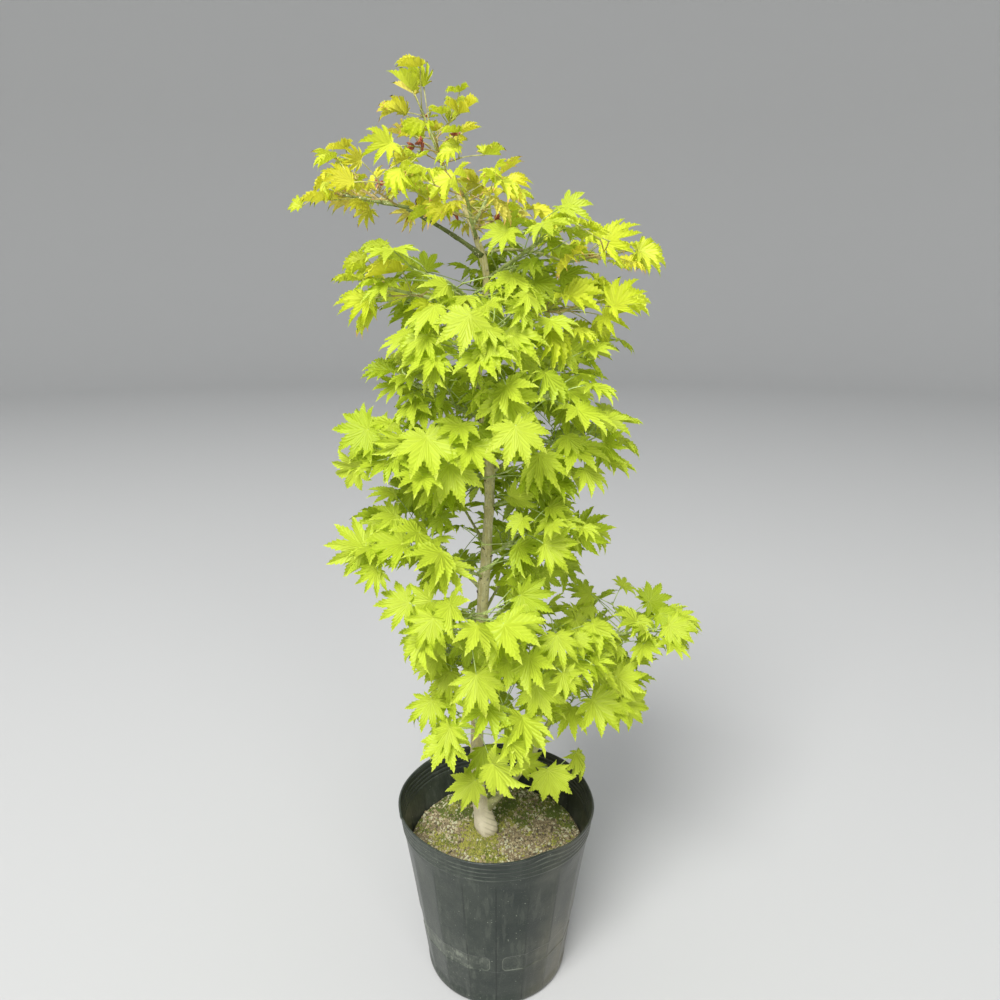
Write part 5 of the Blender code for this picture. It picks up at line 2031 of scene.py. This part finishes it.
class MaplePotLook(bpy.types.PropertyGroup):
    colour: colour_setting("Plastic", "Colour of the pot's plastic", (0.015, 0.022, 0.018))
    # the dust's colour, also used for the painted highlights and the painted reflection on the left;
    # Dustiness scales them all
    dust_colour: colour_setting("Dust", "Colour of the dust on the pot", (0.40, 0.43, 0.34))
    # dirt and painted reflection: the brown tint low on the pot's right
    dirt_colour: colour_setting("Dirt", "Colour of the dirt low on the pot's right", (0.22, 0.20, 0.135))
    dust: share_setting("Dustiness", "How dusty the pot is", 0.68)
    roughness: share_setting("Roughness", "Roughness of clean plastic", 0.30)
    wave: number_setting("Rim wave", "How far the soft rim strays", 0.0013, "LENGTH", max=0.005)


class MapleSoilLook(bpy.types.PropertyGroup):
    soil: colour_setting("Soil", "Colour of the fine soil", (0.32, 0.25, 0.14))
    grain_pale: colour_setting("Pale grains", "Colour of the palest grains", (0.90, 0.82, 0.55))
    grain_tan: colour_setting("Tan grains", "Colour of the tan grains", (0.70, 0.60, 0.36))
    grain_brown: colour_setting("Brown grains", "Colour of the brown grains", (0.54, 0.43, 0.25))
    grain_dark: colour_setting("Dark grains", "Colour of the darkest grains", (0.16, 0.13, 0.075))
    moss_light: colour_setting("Light moss", "Colour of the yellow moss", (0.60, 0.58, 0.12))
    moss_olive: colour_setting("Olive moss", "Colour of the duller moss", (0.38, 0.40, 0.08))
    moss_dark: colour_setting("Dark moss", "Colour of the green moss", (0.19, 0.25, 0.045))
    grain_count: count_setting("Grains", "Number of loose grains tried", 10800)
    tuft_count: count_setting("Moss tufts", "Number of moss tufts tried", 24000)


class MapleWoodLook(bpy.types.PropertyGroup):
    bark: colour_setting("Bark", "Colour of the old bark", (0.82, 0.70, 0.37))
    # pale bark at the foot, raised to near white as painted light
    foot_bark: colour_setting("Foot bark", "Colour of the bark at the foot", (1.0, 0.90, 0.66))
    young_bark: colour_setting("Upper bark", "Colour of the bark near the top", (0.72, 0.63, 0.27))
    fleck: colour_setting("Flecks", "Colour of the pale flecks", (0.95, 0.87, 0.60))
    knot: colour_setting("Knots", "Colour of the old bud clusters", (0.075, 0.05, 0.03))
    bough: colour_setting("Boughs", "Colour of the boughs", (0.50, 0.50, 0.22))
    dark_bough: colour_setting("Dark bough", "Colour of the top left bough", (0.15, 0.18, 0.05))
    shoot: colour_setting("Shoots", "Colour of the green shoots", (0.44, 0.52, 0.17))
    rosy_shoot: colour_setting("Rosy shoots", "Colour of the top shoots", (0.55, 0.42, 0.16))
    stalk: colour_setting("Stalks", "Colour of the leaf stalks", (0.48, 0.60, 0.20))
    yellow_stalk: colour_setting("Yellow stalks", "Colour of the top leaf stalks", (0.62, 0.60, 0.20))
    bud: colour_setting("Buds", "Colour of the bud scales", (0.48, 0.11, 0.07))
    relief: number_setting("Relief", "Depth of the bark's relief", 1.0, max=3)


class MapleLeafLook(bpy.types.PropertyGroup):
    gold: colour_setting("Gold", "Youngest leaves", (0.88, 0.86, 0.065))
    gold_lime: colour_setting("Gold lime", "Young leaves", (0.77, 0.86, 0.055))
    gold_rosy: colour_setting("Rosy gold", "Young leaves with a blush", (0.90, 0.80, 0.14))
    # the lime and green tints are lit and shaded copies: painted light and painted shade, dealt out by a
    # leaf's depth in the crown
    lime_light: colour_setting("Light lime", "Leaves in the light", (0.60, 0.73, 0.047))
    lime: colour_setting("Lime", "Most leaves", (0.51, 0.655, 0.030))
    lime_deep: colour_setting("Deep lime", "Leaves inside the crown", (0.42, 0.55, 0.015))
    # painted shade: green is the tint of the shaded masses at the back
    green: colour_setting("Green", "Leaves at the back", (0.36, 0.475, 0.010))
    green_deep: colour_setting("Deep green", "Shaded leaves at the back", (0.29, 0.39, 0.008))
    tip_pale: colour_setting("Pale tips", "Tips of the lobes", (0.72, 0.84, 0.09))
    tip_rosy: colour_setting("Rosy tips", "Tips of the youngest lobes", (0.92, 0.54, 0.17))
    vein_colour: colour_setting("Veins", "Colour of the veins", (0.78, 0.86, 0.13))
    vein_strength: share_setting("Vein strength", "How clearly the veins show", 0.55)
    see_through: share_setting("Translucency", "How much light shines through a leaf", 0.30)
    roughness: share_setting("Roughness", "Roughness of a leaf", 0.5)


class MapleStageLook(bpy.types.PropertyGroup):
    floor: colour_setting("Floor", "Colour of the floor", (0.56, 0.56, 0.55))
    sky: colour_setting("Surround", "Colour of the surrounding light", (0.93, 0.96, 1.0))
    sky_strength: number_setting("Surround strength", "Strength of the light all round", 0.60)
    key_power: number_setting("Key light", "Power of the main light", 445, "POWER")
    fill_power: number_setting("Fill light", "Power of the second light", 54, "POWER")


# Operators


class MAPLE_OT_pot(bpy.types.Operator):
    """Turns the thin pot, with its ridges, foot band and wavy rim"""

    bl_idname = "maple.pot"
    bl_label = "Pot"

    def execute(self, context):
        build_pot(context.scene.maple_pot)
        return {"FINISHED"}


class MAPLE_OT_soil(bpy.types.Operator):
    """Fills the pot with a mound of soil, loose grains and moss"""

    bl_idname = "maple.soil"
    bl_label = "Soil, grains and moss"

    def execute(self, context):
        look = context.scene.maple_soil
        build_soil(look)
        build_grains(look)
        build_moss(look)
        return {"FINISHED"}


class MAPLE_OT_trunk(bpy.types.Operator):
    """Draws the trunk's bark with its flare, scars and knots"""

    bl_idname = "maple.trunk"
    bl_label = "Trunk"

    def execute(self, context):
        look = context.scene.maple_wood
        build_trunk(look)
        build_knots(look)
        return {"FINISHED"}


class MAPLE_OT_boughs(bpy.types.Operator):
    """Draws every bough from inside its parent to its tip"""

    bl_idname = "maple.boughs"
    bl_label = "Boughs"

    def execute(self, context):
        build_boughs(context.scene.maple_wood)
        return {"FINISHED"}


class MAPLE_OT_twigs(bpy.types.Operator):
    """Grows the shoots, the leaf stalks and the buds"""

    bl_idname = "maple.twigs"
    bl_label = "Twigs, stalks and buds"

    def execute(self, context):
        look = context.scene.maple_wood
        build_twigs(look)
        build_stalks(look)
        build_buds(look)
        return {"FINISHED"}


class MAPLE_OT_leaves(bpy.types.Operator):
    """Forms every leaf in its place, one piece for each family of colours"""

    bl_idname = "maple.leaves"
    bl_label = "Leaves"

    def execute(self, context):
        build_leaves(context.scene.maple_leaves)
        return {"FINISHED"}


# Lamps as (place, size), and the round floor that turns up into a wall
KEY_LAMP = ((-1.5, -3.6, 4.9), 2.8)
FILL_LAMP = ((2.2, -4.6, 2.6), 2.0)
LAMP_AIM = Vector((0, 0, 0.5))
FLOOR_REACH = 7.0
WALL_ROUND = 3.0
WALL_HEIGHT = 8.5


class MAPLE_OT_stage(bpy.types.Operator):
    """Sets the pale floor, the soft lights and the camera"""

    bl_idname = "maple.stage"
    bl_label = "Stage"

    def execute(self, context):
        look = context.scene.maple_stage
        self.lay_floor(context, look)
        world = bpy.data.worlds.new("soft_surround")
        world.use_nodes = True
        sky = world.node_tree.nodes["Background"]
        sky.inputs["Color"].default_value = solid(look.sky)
        sky.inputs["Strength"].default_value = look.sky_strength
        context.scene.world = world
        self.light(context, "key", look.key_power, *KEY_LAMP)
        self.light(context, "fill", look.fill_power, *FILL_LAMP)
        camera = bpy.data.objects.new("camera", bpy.data.cameras.new("camera"))
        camera.data.lens = CAMERA_LENS
        camera.location = CAMERA_PLACE
        camera.rotation_euler = (radians(90 - CAMERA_PITCH), 0, 0)
        context.scene.collection.objects.link(camera)
        context.scene.camera = camera
        context.scene.view_settings.view_transform = "Standard"
        return {"FINISHED"}

    def lay_floor(self, context, look):
        """A round pale floor that turns up into a wall far away."""
        profile = [(0, 0), (FLOOR_REACH, 0)]
        for angle in range(10, 91, 10):
            a = radians(angle)
            profile.append((FLOOR_REACH + WALL_ROUND * sin(a), WALL_ROUND * (1 - cos(a))))
        bm = turned([*profile, (FLOOR_REACH + WALL_ROUND, WALL_HEIGHT)], 96)
        mesh = bpy.data.meshes.new("floor")
        bm.to_mesh(mesh)
        bm.free()
        mesh.shade_smooth()
        material, _, shader = new_material("pale_floor", 0.8)
        shader.inputs["Base Color"].default_value = solid(look.floor)
        mesh.materials.append(material)
        floor = bpy.data.objects.new("floor", mesh)
        context.scene.collection.objects.link(floor)
        floor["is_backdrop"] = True

    def light(self, context, name, power, place, size):
        """A large soft lamp that looks at the middle of the tree."""
        lamp = bpy.data.lights.new(name, "AREA")
        lamp.energy = power
        lamp.size = size
        made = bpy.data.objects.new(name, lamp)
        made.location = place
        made.rotation_euler = (LAMP_AIM - Vector(place)).to_track_quat("-Z", "Y").to_euler()
        context.scene.collection.objects.link(made)


OPERATORS = (
    MAPLE_OT_pot,
    MAPLE_OT_soil,
    MAPLE_OT_trunk,
    MAPLE_OT_boughs,
    MAPLE_OT_twigs,
    MAPLE_OT_leaves,
    MAPLE_OT_stage,
)
SETTINGS = {
    "maple_pot": MaplePotLook,
    "maple_soil": MapleSoilLook,
    "maple_wood": MapleWoodLook,
    "maple_leaves": MapleLeafLook,
    "maple_stage": MapleStageLook,
}


class MAPLE_PT_panel(bpy.types.Panel):
    """Lists the steps that build the maple, and their settings"""

    bl_label = "Potted Golden Maple"
    bl_space_type = "VIEW_3D"
    bl_region_type = "UI"
    bl_category = "Maple"

    def draw(self, context):
        for operator in OPERATORS:
            self.layout.operator(operator.bl_idname)
        for key, settings in SETTINGS.items():
            box = self.layout.box()
            for name in settings.__annotations__:
                box.prop(getattr(context.scene, key), name)


def register():
    for cls in (*SETTINGS.values(), *OPERATORS, MAPLE_PT_panel):
        bpy.utils.register_class(cls)
    for key, settings in SETTINGS.items():
        setattr(bpy.types.Scene, key, PointerProperty(type=settings))


def unregister():
    for key in SETTINGS:
        delattr(bpy.types.Scene, key)
    for cls in reversed((*SETTINGS.values(), *OPERATORS, MAPLE_PT_panel)):
        bpy.utils.unregister_class(cls)


def main():
    register()
    for operator in OPERATORS:
        group, name = operator.bl_idname.split(".")
        getattr(getattr(bpy.ops, group), name)()
    boxes = {"cad": CAD_BOX, "visual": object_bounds()}
    {name: [list(corner) for corner in box] for name, box in boxes.items()}


if __name__ == "__main__":
    main()
